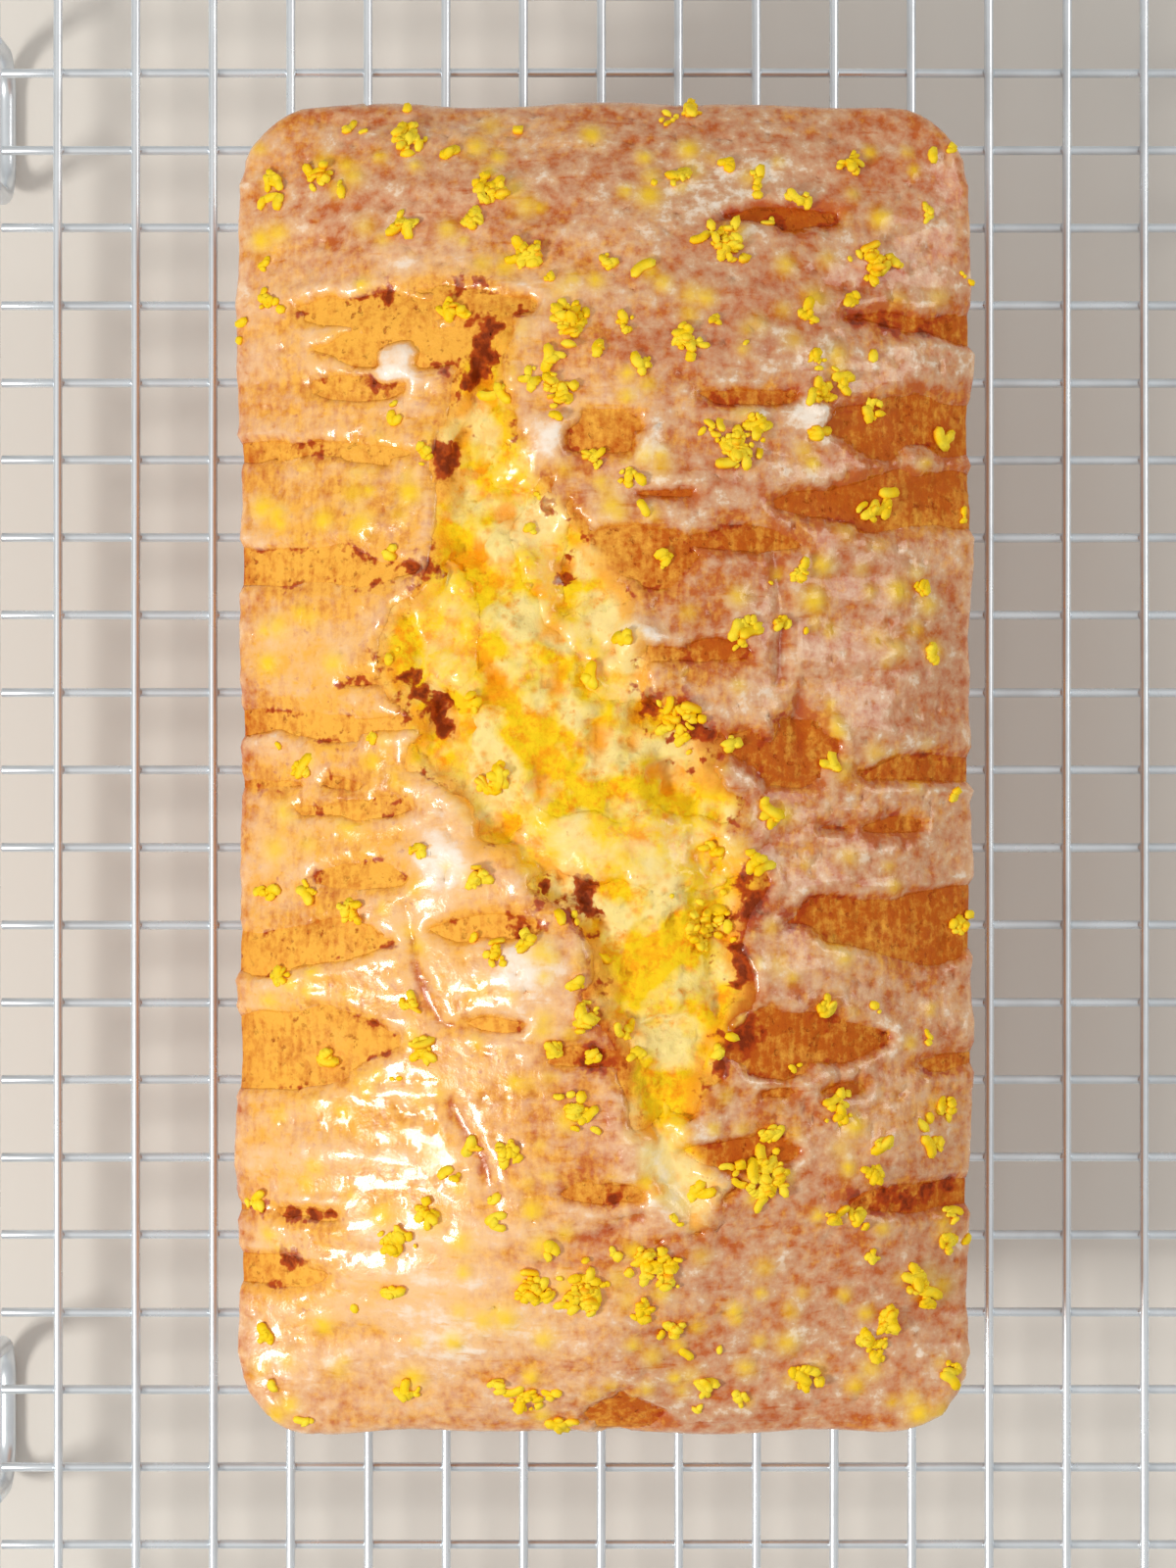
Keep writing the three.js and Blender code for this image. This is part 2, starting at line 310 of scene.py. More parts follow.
class LemonLoafColours(bpy.types.PropertyGroup):
    crust: colour("Crust", "Golden crust", (0.94, 0.46, 0.060))
    # Also painted shade: the crust on the loaf's right side and ends is darkened towards this colour.
    crust_dark_and_shaded: colour("Dark crust", "Well baked crust", (0.55, 0.120, 0.005))
    scorch: colour("Scorch", "Caramelised spots and torn edges", (0.44, 0.050, 0.002))
    crumb: colour("Crumb", "Lemon yellow crumb", (1.0, 0.66, 0.008))
    crumb_pale: colour("Pale crumb", "Crumb wet with glaze", (1.0, 0.80, 0.33))
    # Deep orange crumb: random toasted patches, and painted shade in the crumb's holes and hollows.
    crumb_deep_and_shaded: colour("Deep crumb", "Crumb in the hollows", (0.96, 0.36, 0.003))
    icing: colour("Icing", "The glaze as a half-clear film", (0.93, 0.63, 0.38))
    # Also painted shade: the glaze on the loaf's right side and ends is dulled towards this colour.
    icing_dull_and_shaded: colour("Dull icing", "The glaze over well baked crust", (0.75, 0.51, 0.31))
    icing_thick: colour("Thick icing", "The glaze where it lies thick", (0.97, 0.86, 0.74))
    zest: colour("Zest", "Lemon zest", (1.0, 0.66, 0.003))
    zest_pale: colour("Pale zest", "The lighter pieces", (1.0, 0.78, 0.04))
    # Painted shade: the amber tint on the underside of each piece of zest.
    zest_underside_shade: colour("Deep zest", "The amber underside of a piece", (1.0, 0.36, 0.001))
    steel: colour("Steel", "Bright plated wire", (0.84, 0.91, 0.98))
    floor: colour("Floor", "The studio floor", (0.80, 0.78, 0.74))


# ---- Modelling ----


def only(obj):
    """Selects this object alone, and makes it active."""
    bpy.ops.object.select_all(action="DESELECT")
    obj.select_set(True)
    bpy.context.view_layer.objects.active = obj


@contextlib.contextmanager
def editing(obj, wanted, kind="FACE"):
    """Edit mode on one object, with the faces, edges or vertices selected that are wanted."""
    only(obj)
    bpy.ops.object.mode_set(mode="EDIT")
    bpy.ops.mesh.select_mode(type=kind)
    bpy.ops.mesh.select_all(action="DESELECT")
    mesh = bmesh.from_edit_mesh(obj.data)
    items = {"FACE": mesh.faces, "EDGE": mesh.edges, "VERT": mesh.verts}[kind]
    for item in items:
        item.select_set(wanted(item))
    bmesh.update_edit_mesh(obj.data)
    yield
    bpy.ops.object.mode_set(mode="OBJECT")


def new_piece(name):
    """Names the primitive just added, and moves its place into its mesh."""
    piece = bpy.context.object
    piece.name = name
    piece.data.name = name
    only(piece)
    bpy.ops.object.transform_apply(location=True, rotation=True, scale=True)
    return piece


def span(edge, axis):
    """How far an edge runs along one axis."""
    return abs(edge.verts[0].co[axis] - edge.verts[1].co[axis])


def apply_modifier(piece, kind, **settings):
    modifier = piece.modifiers.new(kind.title(), kind)
    for key, value in settings.items():
        setattr(modifier, key, value)
    only(piece)
    bpy.ops.object.modifier_apply(modifier=modifier.name)


def copy_of(piece, name):
    copy = bpy.data.objects.new(name, piece.data.copy())
    bpy.context.scene.collection.objects.link(copy)
    return copy


def points_of(piece, kind="co"):
    """One row of three for each vertex of a piece: its place, or its normal."""
    numbers = np.empty(len(piece.data.vertices) * 3)
    piece.data.vertices.foreach_get(kind, numbers)
    return numbers.reshape(-1, 3)


def normals_of(piece):
    return points_of(piece, "normal")


def move_points(piece, points):
    piece.data.vertices.foreach_set("co", np.ascontiguousarray(points).ravel())
    piece.data.update()


def paint(piece, name, values):
    layer = piece.data.attributes.get(name) or piece.data.attributes.new(name, "FLOAT", "POINT")
    layer.data.foreach_set("value", np.asarray(values, np.float32))


def painted(piece, name):
    values = np.empty(len(piece.data.vertices), np.float32)
    piece.data.attributes[name].data.foreach_get("value", values)
    return values


def smoothstep(low, high, value):
    share = np.clip((value - low) / (high - low), 0, 1)
    return share * share * (3 - 2 * share)


def bell(distance, breadth=1):
    """1 in the middle, fallen smoothly to about a third at the breadth."""
    return np.exp(-((distance / breadth) ** 2))


def away_from(points, across, along):
    """How far each point of the plan lies from one place."""
    return np.hypot(points[:, 0] - across, points[:, 1] - along)


def lumps(points, size, seed=0, detail=1):
    """Noise from about -1 to 1 at each point. size is a lump's size, or one for each axis."""
    places = points / np.broadcast_to(size, 3) + seed * 13.7
    if detail == 1:
        return np.array([noise.noise(place) for place in places.tolist()])
    return np.array([noise.fractal(place, 1.0, 2.0, detail) for place in places.tolist()])


def settle(piece, slot, *nodes):
    """Finishes a piece: it rides on the root, and stands for its nodes."""
    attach(piece, "root")
    if nodes:
        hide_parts(*nodes)


# ---- Materials ----

RIM_BAND = 0.005  # how far above and below the rim the crust is darker
BASE_BAND = 0.012  # how far up from the base the crust is darker
BAKED_RELIEF = 0.00035  # the depth of the finest grain of crust and crumb
GLAZE_RELIEF = 0.0004
ZEST_RELIEF = 0.00005
WIRE_RELIEF = 0.00001


class Finish:
    """A material built from nodes around one Principled shader."""

    def __init__(self, name, **sockets):
        self.material = bpy.data.materials.new(name)
        self.material.use_nodes = True
        self.tree = self.material.node_tree
        self.shader = self.tree.nodes["Principled BSDF"]
        for socket, value in sockets.items():
            self.shader.inputs[socket.replace("_", " ")].default_value = value
        self.place = self.tree.nodes.new("ShaderNodeTexCoord").outputs["Object"]

    def node(self, kind, inputs=None, **settings):
        made = self.tree.nodes.new(kind)
        for key, value in settings.items():
            setattr(made, key, value)
        for key, value in (inputs or {}).items():
            self.feed(made.inputs[key], value)
        return made

    def feed(self, socket, value):
        if isinstance(value, bpy.types.NodeSocket):
            self.tree.links.new(value, socket)
        else:
            socket.default_value = value

    def stretched(self, scale):
        """The place, scaled on each axis: a pattern on it runs long where the scale is small."""
        return self.node("ShaderNodeMapping", {"Vector": self.place, "Scale": scale}).outputs[0]

    def noise(self, size, detail=3.0, rough=0.5, place=None):
        inputs = {"Vector": place or self.place, "Scale": 1 / size, "Detail": detail}
        return self.node("ShaderNodeTexNoise", {**inputs, "Roughness": rough}).outputs["Fac"]

    def cells(self, size):
        inputs = {"Vector": self.place, "Scale": 1 / size}
        return self.node("ShaderNodeTexVoronoi", inputs).outputs["Distance"]

    def level(self, value, low, high, to_low=0.0, to_high=1.0):
        """The value, moved from one range to another and kept inside it."""
        inputs = {0: value, 1: low, 2: high, 3: to_low, 4: to_high}
        return self.node("ShaderNodeMapRange", inputs, clamp=True).outputs[0]

    def maths(self, operation, a, b):
        return self.node("ShaderNodeMath", {0: a, 1: b}, operation=operation).outputs[0]

    def total(self, first, *others):
        for other in others:
            first = self.maths("ADD", first, other)
        return first

    def mix(self, share, a, b):
        """From colour a to colour b, each of them a socket or three numbers."""

        def rgba(value):
            is_socket = isinstance(value, bpy.types.NodeSocket)
            return value if is_socket else (*value, 1.0)

        inputs = {0: share, 6: rgba(a), 7: rgba(b)}
        return self.node("ShaderNodeMix", inputs, data_type="RGBA").outputs[2]

    def attribute(self, name):
        return self.node("ShaderNodeAttribute", attribute_name=name).outputs["Fac"]

    def height(self):
        return self.node("ShaderNodeSeparateXYZ", {0: self.place}).outputs["Z"]

    def bump(self, height, distance, strength):
        inputs = {"Height": height, "Distance": distance, "Strength": strength}
        return self.node("ShaderNodeBump", inputs).outputs[0]

    def finish(self, **sockets):
        for socket, value in sockets.items():
            self.feed(self.shader.inputs[socket.replace("_", " ")], value)
        return self.material


def steel_finish(colours):
    """Bright plated wire with faint drawing marks and a little dulling."""
    made = bpy.data.materials.get("bright_steel")
    if made:
        return made
    steel = Finish("bright_steel", Metallic=0.75, Specular_IOR_Level=0.6)
    dull = steel.noise(0.009, detail=4)
    marks = steel.noise(0.0003, detail=2)
    tone = steel.mix(steel.level(dull, 0.35, 0.75), colours.steel, [0.8 * c for c in colours.steel])
    rough = steel.level(dull, 0.3, 0.8, 0.24, 0.42)
    relief = steel.bump(marks, WIRE_RELIEF, 0.4)
    return steel.finish(Base_Color=tone, Roughness=rough, Normal=relief)


def baked_grain(bake):
    """The fine grain of the crust, and its pores."""
    grain = bake.noise(0.0014, detail=4, rough=0.65)
    pores = bake.level(bake.noise(0.0012, detail=4), 0.62, 0.72)
    return grain, pores


def crust_tone(bake, colours, rim_height, grain, pores):
    """The crust: browned in bands, grains and fibres, with dark pores, rim and base, and painted shade
    on the loaf's right side and ends.
    """
    bands = bake.noise(0.011, detail=5, place=bake.stretched((0.35, 1.0, 1.0)))
    fibres = bake.noise(0.0011, detail=3, place=bake.stretched((1.0, 0.22, 1.0)))
    # The browning attribute also holds painted shade: it darkens the crust on the loaf's right side,
    # its ends and the furrows' creases.
    browning_and_shade = bake.total(
        bake.attribute("browning_and_shade"),
        bake.level(bands, 0.3, 0.7, -0.3, 0.3),
        bake.level(grain, 0.32, 0.68, -0.34, 0.34),
        bake.level(fibres, 0.35, 0.65, -0.20, 0.20),
    )
    tone = bake.mix(bake.level(browning_and_shade, 0.0, 0.85), colours.crust, colours.crust_dark_and_shaded)
    tone = bake.mix(bake.level(browning_and_shade, 0.85, 1.7, 0, 0.7), tone, colours.scorch)
    crowded = bake.level(bake.noise(0.0060, detail=2), 0.42, 0.60, 0.1, 0.8)
    tone = bake.mix(bake.maths("MULTIPLY", pores, crowded), tone, colours.scorch)

    above = bake.maths("SUBTRACT", bake.height(), LOAF_PLACE.z)
    from_rim = bake.maths("ABSOLUTE", bake.maths("SUBTRACT", above, rim_height), 0.0)
    tone = bake.mix(bake.level(from_rim, 0.0, RIM_BAND, 0.2, 0), tone, colours.crust_dark_and_shaded)
    return bake.mix(bake.level(above, 0.0, BASE_BAND, 0.45, 0), tone, colours.scorch)


def crumb_tone(bake, colours):
    """The crumb: yellow, pale where glaze has soaked in, deeper orange in random patches, with painted
    shade in its holes and hollows.
    """
    hollows = bake.noise(0.0030, detail=5, rough=0.65)
    wet = bake.noise(0.0085, detail=3)
    soft = bake.mix(bake.level(hollows, 0.36, 0.50), colours.crumb_deep_and_shaded, colours.crumb)
    soft = bake.mix(bake.level(wet, 0.46, 0.60, 0, 0.9), soft, colours.crumb_pale)
    # Painted shade: the crumb is deeper orange in the middle of each small hole.
    holes = bake.level(bake.cells(0.0024), 0.05, 0.30, 0.55, 0)
    soft = bake.mix(holes, soft, colours.crumb_deep_and_shaded)
    browned = bake.level(bake.noise(0.0052, detail=5, rough=0.7), 0.56, 0.68)
    # Painted shade: the crumb turns deep orange where it lies in shade between its lumps and under the
    # torn crust, as well as in random toasted patches.
    browned = bake.maths("MAXIMUM", browned, bake.attribute("hollow_shade"))
    soft = bake.mix(bake.maths("MULTIPLY", browned, 0.85), soft, colours.crumb_deep_and_shaded)
    return bake.mix(bake.level(bake.attribute("toast"), 0, 1, 0, 0.85), soft, colours.crust)


def scorched_tone(bake, colours, tone):
    """The tone with its caramelised spots, charred at their middles."""
    specks = bake.level(bake.noise(0.0013, detail=2), 0.3, 0.7, -0.45, 0.45)
    scorched = bake.total(bake.attribute("scorch"), specks)
    tone = bake.mix(bake.level(scorched, 0.40, 0.74, 0, 0.95), tone, colours.scorch)
    char = [0.4 * c for c in colours.scorch]
    return bake.mix(bake.level(scorched, 0.85, 1.25, 0, 0.8), tone, char)


def baked_tone(bake, colours, rim_height, grain, pores):
    """The loaf's own colour: crust, crumb in the split, and scorched spots on both."""
    crust = crust_tone(bake, colours, rim_height, grain, pores)
    tone = bake.mix(bake.attribute("crumb"), crust, crumb_tone(bake, colours))
    return scorched_tone(bake, colours, tone)


def crust_finish(colours, rim_height):
    """Baked crust with pores and scorched spots, and the rough yellow crumb in the split."""
    crust = Finish(
        "crust_and_crumb", Specular_IOR_Level=0.15, Subsurface_Scale=0.0010,
        Subsurface_Radius=(1.0, 0.8, 0.5),
    )
    grain, pores = baked_grain(crust)
    tone = baked_tone(crust, colours, rim_height, grain, pores)
    crumb = crust.attribute("crumb")
    pitted = crust.maths("SUBTRACT", grain, crust.maths("MULTIPLY", pores, 0.8))
    fine_bump = crust.bump(pitted, BAKED_RELIEF, 0.8)
    holes = crust.level(crust.cells(0.0021), 0.05, 0.45)
    torn = crust.total(holes, crust.noise(0.0014, detail=5, rough=0.75))
    crumb_bump = crust.bump(torn, BAKED_RELIEF, 0.8)
    facing = crust.node(
        "ShaderNodeMix", {0: crumb, 4: fine_bump, 5: crumb_bump}, data_type="VECTOR"
    ).outputs[1]
    rough = crust.level(crust.noise(0.0085, detail=3), 0.44, 0.62, 0.66, 0.45)
    glow = crust.level(crumb, 0, 1, 0.0, 0.3)
    return crust.finish(
        Base_Color=tone, Roughness=rough, Subsurface_Weight=glow, Normal=facing
    )


def glaze_body(glaze, dark, mottle):
    """How opaque the glaze is: its thickness, streaked across the loaf, mottled and hair-lined."""
    streaks = glaze.noise(0.0046, detail=5, rough=0.6, place=glaze.stretched((0.4, 1.0, 1.0)))
    hairs = glaze.noise(0.0011, detail=2, place=glaze.stretched((0.16, 1.0, 1.0)))
    sugary = glaze.level(dark, 0, 0.8, 0.22, 0.50)
    uneven = glaze.maths("MULTIPLY", glaze.level(mottle, 0.33, 0.67, -1, 1), sugary)
    smooth = glaze.level(dark, 0, 0.9, 0.36, 0.16)
    banded = glaze.maths("MULTIPLY", glaze.level(streaks, 0.3, 0.7, -1, 1), smooth)
    body = glaze.total(glaze.attribute("body"), banded, uneven)
    return glaze.maths("SUBTRACT", body, glaze.level(hairs, 0.62, 0.72, 0, 0.3))


def glaze_finish(colours, rim_height):
    """Half-clear icing: the crust shows through it, the less so the thicker it lies; painted shade
    dulls it on the loaf's right side and ends.
    """
    glaze = Finish("lemon_glaze", Coat_Weight=0.42, Coat_Roughness=0.06, Specular_IOR_Level=0.4)
    under = baked_tone(glaze, colours, rim_height, *baked_grain(glaze))
    # Painted shade: this darkness also holds shade on the loaf's right side and ends, and dulls the
    # icing there.
    dark = glaze.attribute("browning_and_shade")
    crumb = glaze.attribute("crumb")
    mottle = glaze.noise(0.0024, detail=4, rough=0.6)
    body = glaze_body(glaze, dark, mottle)
    icing = glaze.mix(glaze.level(dark, 0.55, 0.9), colours.icing, colours.icing_dull_and_shaded)
    icing = glaze.mix(crumb, icing, colours.crumb_pale)
    film = glaze.mix(glaze.level(body, 0.05, 1.15, 0.0, 0.92), under, icing)
    wet = glaze.level(crumb, 0, 1, 0, 0.5)
    white = glaze.mix(wet, colours.icing_thick, colours.crumb_pale)
    tone = glaze.mix(glaze.level(body, 0.95, 1.5), film, white)
    tone = glaze.mix(glaze.attribute("zest"), tone, colours.zest)
    waves = glaze.noise(0.0060, detail=3, place=glaze.stretched((1.0, 0.45, 1.0)))
    ripples = glaze.total(glaze.maths("MULTIPLY", waves, 2.6), mottle)
    rough = glaze.level(mottle, 0.35, 0.65, 0.34, 0.20)
    relief = glaze.bump(ripples, GLAZE_RELIEF, 0.5)
    return glaze.finish(Base_Color=tone, Roughness=rough, Normal=relief)


def zest_finish(colours):
    """Oily yellow peel, paler on some pieces, that light passes into, with painted shade in amber on
    each piece's underside.
    """
    zest = Finish(
        "lemon_zest", Roughness=0.55, Specular_IOR_Level=0.2, Subsurface_Weight=0.1,
        Subsurface_Scale=0.0005, Subsurface_Radius=(1.0, 0.9, 0.5),
    )
    tone = zest.mix(zest.level(zest.noise(0.003), 0.4, 0.62), colours.zest, colours.zest_pale)
    # Painted shade: each piece turns amber on its underside.
    tone = zest.mix(zest.attribute("under"), tone, colours.zest_underside_shade)
    return zest.finish(Base_Color=tone, Normal=zest.bump(zest.noise(0.0004), ZEST_RELIEF, 0.5))


def floor_finish(colours):
    floor = Finish("pale_floor", Roughness=0.85)
    drift = floor.level(floor.noise(0.25, detail=2), 0.3, 0.7)
    tone = floor.mix(drift, colours.floor, [0.97 * c for c in colours.floor])
    return floor.finish(Base_Color=tone)


# ---- Rack ----

WAVER_LENGTH = 0.07
BEAD_RADIUS = 1.32  # a weld bead's radius, for a thin wire's radius of 1
BEAD_FLATNESS = 0.55


def straight_wire(radius, half):
    """One drawn wire along Y about the origin, with eased ends and enough rings to bend."""
    bpy.ops.mesh.primitive_cylinder_add(
        vertices=16, radius=radius, depth=2 * half, rotation=(math.pi / 2, 0, 0)
    )
    wire = new_piece("wire_pattern")
    with editing(wire, lambda edge: span(edge, 1) > half, "EDGE"):
        bpy.ops.mesh.subdivide(number_cuts=24)
    end = half - radius / 9
    with editing(wire, lambda edge: all(abs(v.co.y) > end for v in edge.verts), "EDGE"):
        bpy.ops.mesh.bevel(offset=radius / 3, segments=2, affect="EDGES")
    only(wire)
    bpy.ops.object.shade_smooth_by_angle(angle=math.radians(50))
    return wire


def laid_wire(pattern, node, seed, slack):
    """A copy of the pattern, fitted to a wire of the frame, wavering sideways by up to the slack."""
    low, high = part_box(node)
    size = high - low
    runs_across = size.x > size.y
    wire = copy_of(pattern, f"bright_{node}")
    points = points_of(wire)
    points[:, 1] *= max(size.x, size.y) / 2 / points[:, 1].max()
    ways = (points[:, 1] / WAVER_LENGTH).tolist()
    points[:, 0] += slack * np.array([noise.noise((way, seed * 3.1, 0.5)) for way in ways])
    if runs_across:
        points = np.column_stack((-points[:, 1], points[:, 0], points[:, 2]))
    move_points(wire, points + np.array((low + high) / 2))
    return wire


def bent_wire(name, corners, closed, bend, radius):
    """A wire along straight runs joined by round bends, made from a bevelled outline."""
    mesh = bpy.data.meshes.new(name)
    count = len(corners)
    edges = [(i, (i + 1) % count) for i in range(count if closed else count - 1)]
    mesh.from_pydata(corners, edges, [])
    wire = bpy.data.objects.new(name, mesh)
    bpy.context.scene.collection.objects.link(wire)
    with editing(wire, lambda vertex: closed or len(vertex.link_edges) == 2, "VERT"):
        bpy.ops.mesh.bevel(offset=bend, segments=12, affect="VERTICES")
    bpy.ops.object.convert(target="CURVE")
    wire = bpy.context.object
    wire.data.bevel_depth = radius
    wire.data.bevel_resolution = 6
    wire.data.use_fill_caps = True
    bpy.ops.object.convert(target="MESH")
    wire = bpy.context.object
    with editing(wire, lambda face: True):
        bpy.ops.mesh.remove_doubles(threshold=radius / 100)
        bpy.ops.mesh.normals_make_consistent(inside=False)
    only(wire)
    bpy.ops.object.shade_smooth_by_angle(angle=math.radians(50))
    return wire


class LEMONLOAF_OT_grid(bpy.types.Operator):
    """Lays the rack's two layers of thin wire and the weld at each crossing"""

    bl_idname = "lemon_loaf.grid"
    bl_label = "Grid Wires"

    def execute(self, context):
        low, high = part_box(LONG_WIRES[0])
        radius = (high.x - low.x) / 2
        pattern = straight_wire(radius, (high.y - low.y) / 2)
        steel = steel_finish(context.scene.lemon_loaf_colours)
        for seed, node in enumerate([*LONG_WIRES, *CROSS_WIRES]):
            wire = laid_wire(pattern, node, seed, radius / 7)
            wire.data.materials.append(steel)
            settle(wire, "steel", node)
        bpy.data.objects.remove(pattern)
        beads = self.welds(radius)
        beads.data.materials.append(steel)
        settle(beads, "steel")
        return {"FINISHED"}

    def welds(self, radius):
        """A small flattened bead where each upper wire crosses a lower one."""
        bpy.ops.mesh.primitive_uv_sphere_add(segments=8, ring_count=4, radius=radius * BEAD_RADIUS)
        bead = new_piece("weld_beads")
        with editing(bead, lambda face: True):
            bpy.ops.transform.resize(value=(1, 1, BEAD_FLATNESS), center_override=(0, 0, 0))
        shape = bead.data.copy()
        mesh = bmesh.new()
        for long_wire in LONG_WIRES:
            for cross_wire in CROSS_WIRES:
                above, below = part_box(long_wire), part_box(cross_wire)
                place = Vector((
                    (above[0].x + above[1].x) / 2,
                    (below[0].y + below[1].y) / 2,
                    (above[0].z + below[1].z) / 2,
                ))
                before = len(mesh.verts)
                mesh.from_mesh(shape)
                mesh.verts.ensure_lookup_table()
                bmesh.ops.translate(mesh, verts=mesh.verts[before:], vec=place)
        mesh.to_mesh(bead.data)
        only(bead)
        bpy.ops.object.shade_smooth()
        return bead


class LEMONLOAF_OT_frame(bpy.types.Operator):
    """Bends the rack's thick outer wire and its four feet"""

    bl_idname = "lemon_loaf.frame"
    bl_label = "Frame and Feet"

    bend = 0.016
    foot_bend = 0.007

    def execute(self, context):
        steel = steel_finish(context.scene.lemon_loaf_colours)
        low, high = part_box("frame_wire")
        radius = (high.z - low.z) / 2
        left, right = low.x + radius, high.x - radius
        front, back = low.y + radius, high.y - radius
        middle = (low.z + high.z) / 2
        corners = [(x, y, middle) for x, y in
                   ((left, front), (right, front), (right, back), (left, back))]
        outer = bent_wire("bright_frame_wire", corners, True, self.bend, radius)
        outer.data.materials.append(steel)
        settle(outer, "steel", "frame_wire")
        for node in FEET:
            foot = self.foot(node, radius)
            foot.data.materials.append(steel)
            settle(foot, "steel", node)
        return {"FINISHED"}

    def foot(self, node, radius):
        low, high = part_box(node)
        x = (low.x + high.x) / 2
        front, back = low.y + radius, high.y - radius
        corners = [(x, front, high.z), (x, front, radius), (x, back, radius), (x, back, high.z)]
        return bent_wire(f"bright_{node}", corners, False, self.foot_bend, radius)


# ---- Loaf ----

SWELL = 0.0016  # the slow unevenness of the crown
RAGGED = 0.0028  # how far the split's edge wanders
CLOSED = 0.004  # what the distance from the split gains past its closed ends
LIP_BREADTH = 0.0042  # how far from the split its curled lip has died away to a third
WALL = 0.0070  # the breadth over which the crumb drops away inside the split's edge
HEAVE = 0.0034  # how far the crumb has risen again in the middle of the split
LUMP = 0.0058  # the size of the crumb's lumps
FURROW_DEPTH = 0.0011
FURROW_BREADTH = 0.0009


def crown_rise(points, rim_height):
    """How far the crown stands above the rim: it falls gently sideways, and late at its ends."""
    across = 1 - np.clip(np.abs(points[:, 0]) / LOAF_ACROSS, 0, 1) ** 2.2
    along = 1 - np.clip(np.abs(points[:, 1]) / LOAF_ALONG, 0, 1) ** 5
    return (LOAF_HEIGHT - rim_height) * across * along


def flat(points):
    """The points with their height left out, so that noise runs only over the plan."""
    return points * np.array((1, 1, 0))


def split_distance(points):
    """How far a point lies outside the split's ragged edge; inside it is negative."""
    along, across, width = np.array(SPLIT).T
    middle = np.interp(points[:, 1], along, across)
    half = np.interp(points[:, 1], along, width) / 2
    plan = flat(points)
    ragged = RAGGED * lumps(plan, 0.008, seed=1) + RAGGED / 2 * lumps(plan, 0.0028, seed=2)
    closed = np.where(half <= 0, CLOSED, 0)
    return np.abs(points[:, 0] - middle) - half + ragged * smoothstep(0, 0.008, half) + closed


def crumb_lumps(points):
    """The crumb's lumps, coarse and fine, from about -1 to 1 each."""
    plan = flat(points)
    return lumps(plan, LUMP, seed=5), lumps(plan, 0.0025, seed=6)


def open_crown(points, sizes):
    """Raises the crown over the tin's rim, and tears it open along the split."""
    top = smoothstep(sizes.rim_height - 0.0012, sizes.rim_height - 0.0002, points[:, 2])
    plan = flat(points)
    swell = SWELL * lumps(plan, 0.034, seed=3) + 0.0005 * lumps(plan, (0.016, 0.007, 1), seed=4)
    inland = smoothstep(0, 0.012, crown_rise(points, sizes.rim_height))
    rise = crown_rise(points, sizes.rim_height) + swell * inland

    outside = split_distance(points)
    inside = -outside
    lip = sizes.lip * np.exp(-np.abs(outside) / LIP_BREADTH) * smoothstep(-0.0030, 0.0004, outside)
    drop = sizes.split_depth * smoothstep(0.0, WALL, inside)
    heave = HEAVE * smoothstep(0.002, 0.014, inside)
    coarse, fine = crumb_lumps(points)
    dry = 1 - 0.8 * smoothstep(-0.001, 0.003, pool_cover(plan))
    torn = heave - drop + (0.0015 * coarse + 0.0009 * fine) * dry * smoothstep(0.0, 0.003, inside)
    furrows = -FURROW_DEPTH * bell(furrow_distance(plan), FURROW_BREADTH)
    points = points.copy()
    points[:, 2] += top * (rise + (lip + torn + furrows) * inland)
    return points


def crease(points):
    """How near each point lies to the bottom of a furrow, in patches along it."""
    near = bell(furrow_distance(points), 0.0008)
    return near * smoothstep(-0.3, 0.2, lumps(flat(points), 0.0050, seed=34))


def furrow_distance(plan):
    """How far each point of the plan lies from the nearest furrow."""
    nearest = np.full(len(plan), 1.0)
    for furrow in FURROWS:
        for start, end in zip(furrow, furrow[1:]):
            start, run = np.array(start), np.subtract(end, start)
            share = np.clip((plan[:, :2] - start) @ run / (run @ run), 0, 1)
            away = plan[:, :2] - start - share[:, None] * run
            nearest = np.minimum(nearest, np.hypot(away[:, 0], away[:, 1]))
    return nearest


def roughen(loaf, sizes):
    """The small relief of crust and crumb, and the colours' attributes."""
    points = points_of(loaf)
    outside = split_distance(points)
    on_top = smoothstep(sizes.rim_height - 0.001, sizes.rim_height + 0.003, points[:, 2])
    crumb = on_top * smoothstep(0.0014, -0.0012, outside + 0.0010 * lumps(points, 0.0018, seed=15))
    bubbly = lumps(points, 0.0022, seed=7, detail=3)
    outwards = surface_relief(points, crumb, bubbly)
    move_points(loaf, points + normals_of(loaf) * outwards[:, None])
    paint(loaf, "crumb", crumb)
    # Painted shade: how deep the crumb lies in shade between its lumps and under the torn crust.
    paint(loaf, "hollow_shade", hollow_shade(points, outside, bubbly))
    toast = smoothstep(-0.0035, 0.0, outside + 0.0030 * lumps(points, 0.0050, seed=17))
    paint(loaf, "toast", toast * smoothstep(-0.25, 0.25, lumps(points, 0.010, seed=32)))
    paint(loaf, "scorch", scorching(points, outside, sizes) * on_top)
    # The crust's darkness: its browning, with painted shade on the right side and ends and along the
    # furrows' creases.
    paint(loaf, "browning_and_shade", browning_and_shade(points, on_top) + 0.9 * crease(points) * on_top)


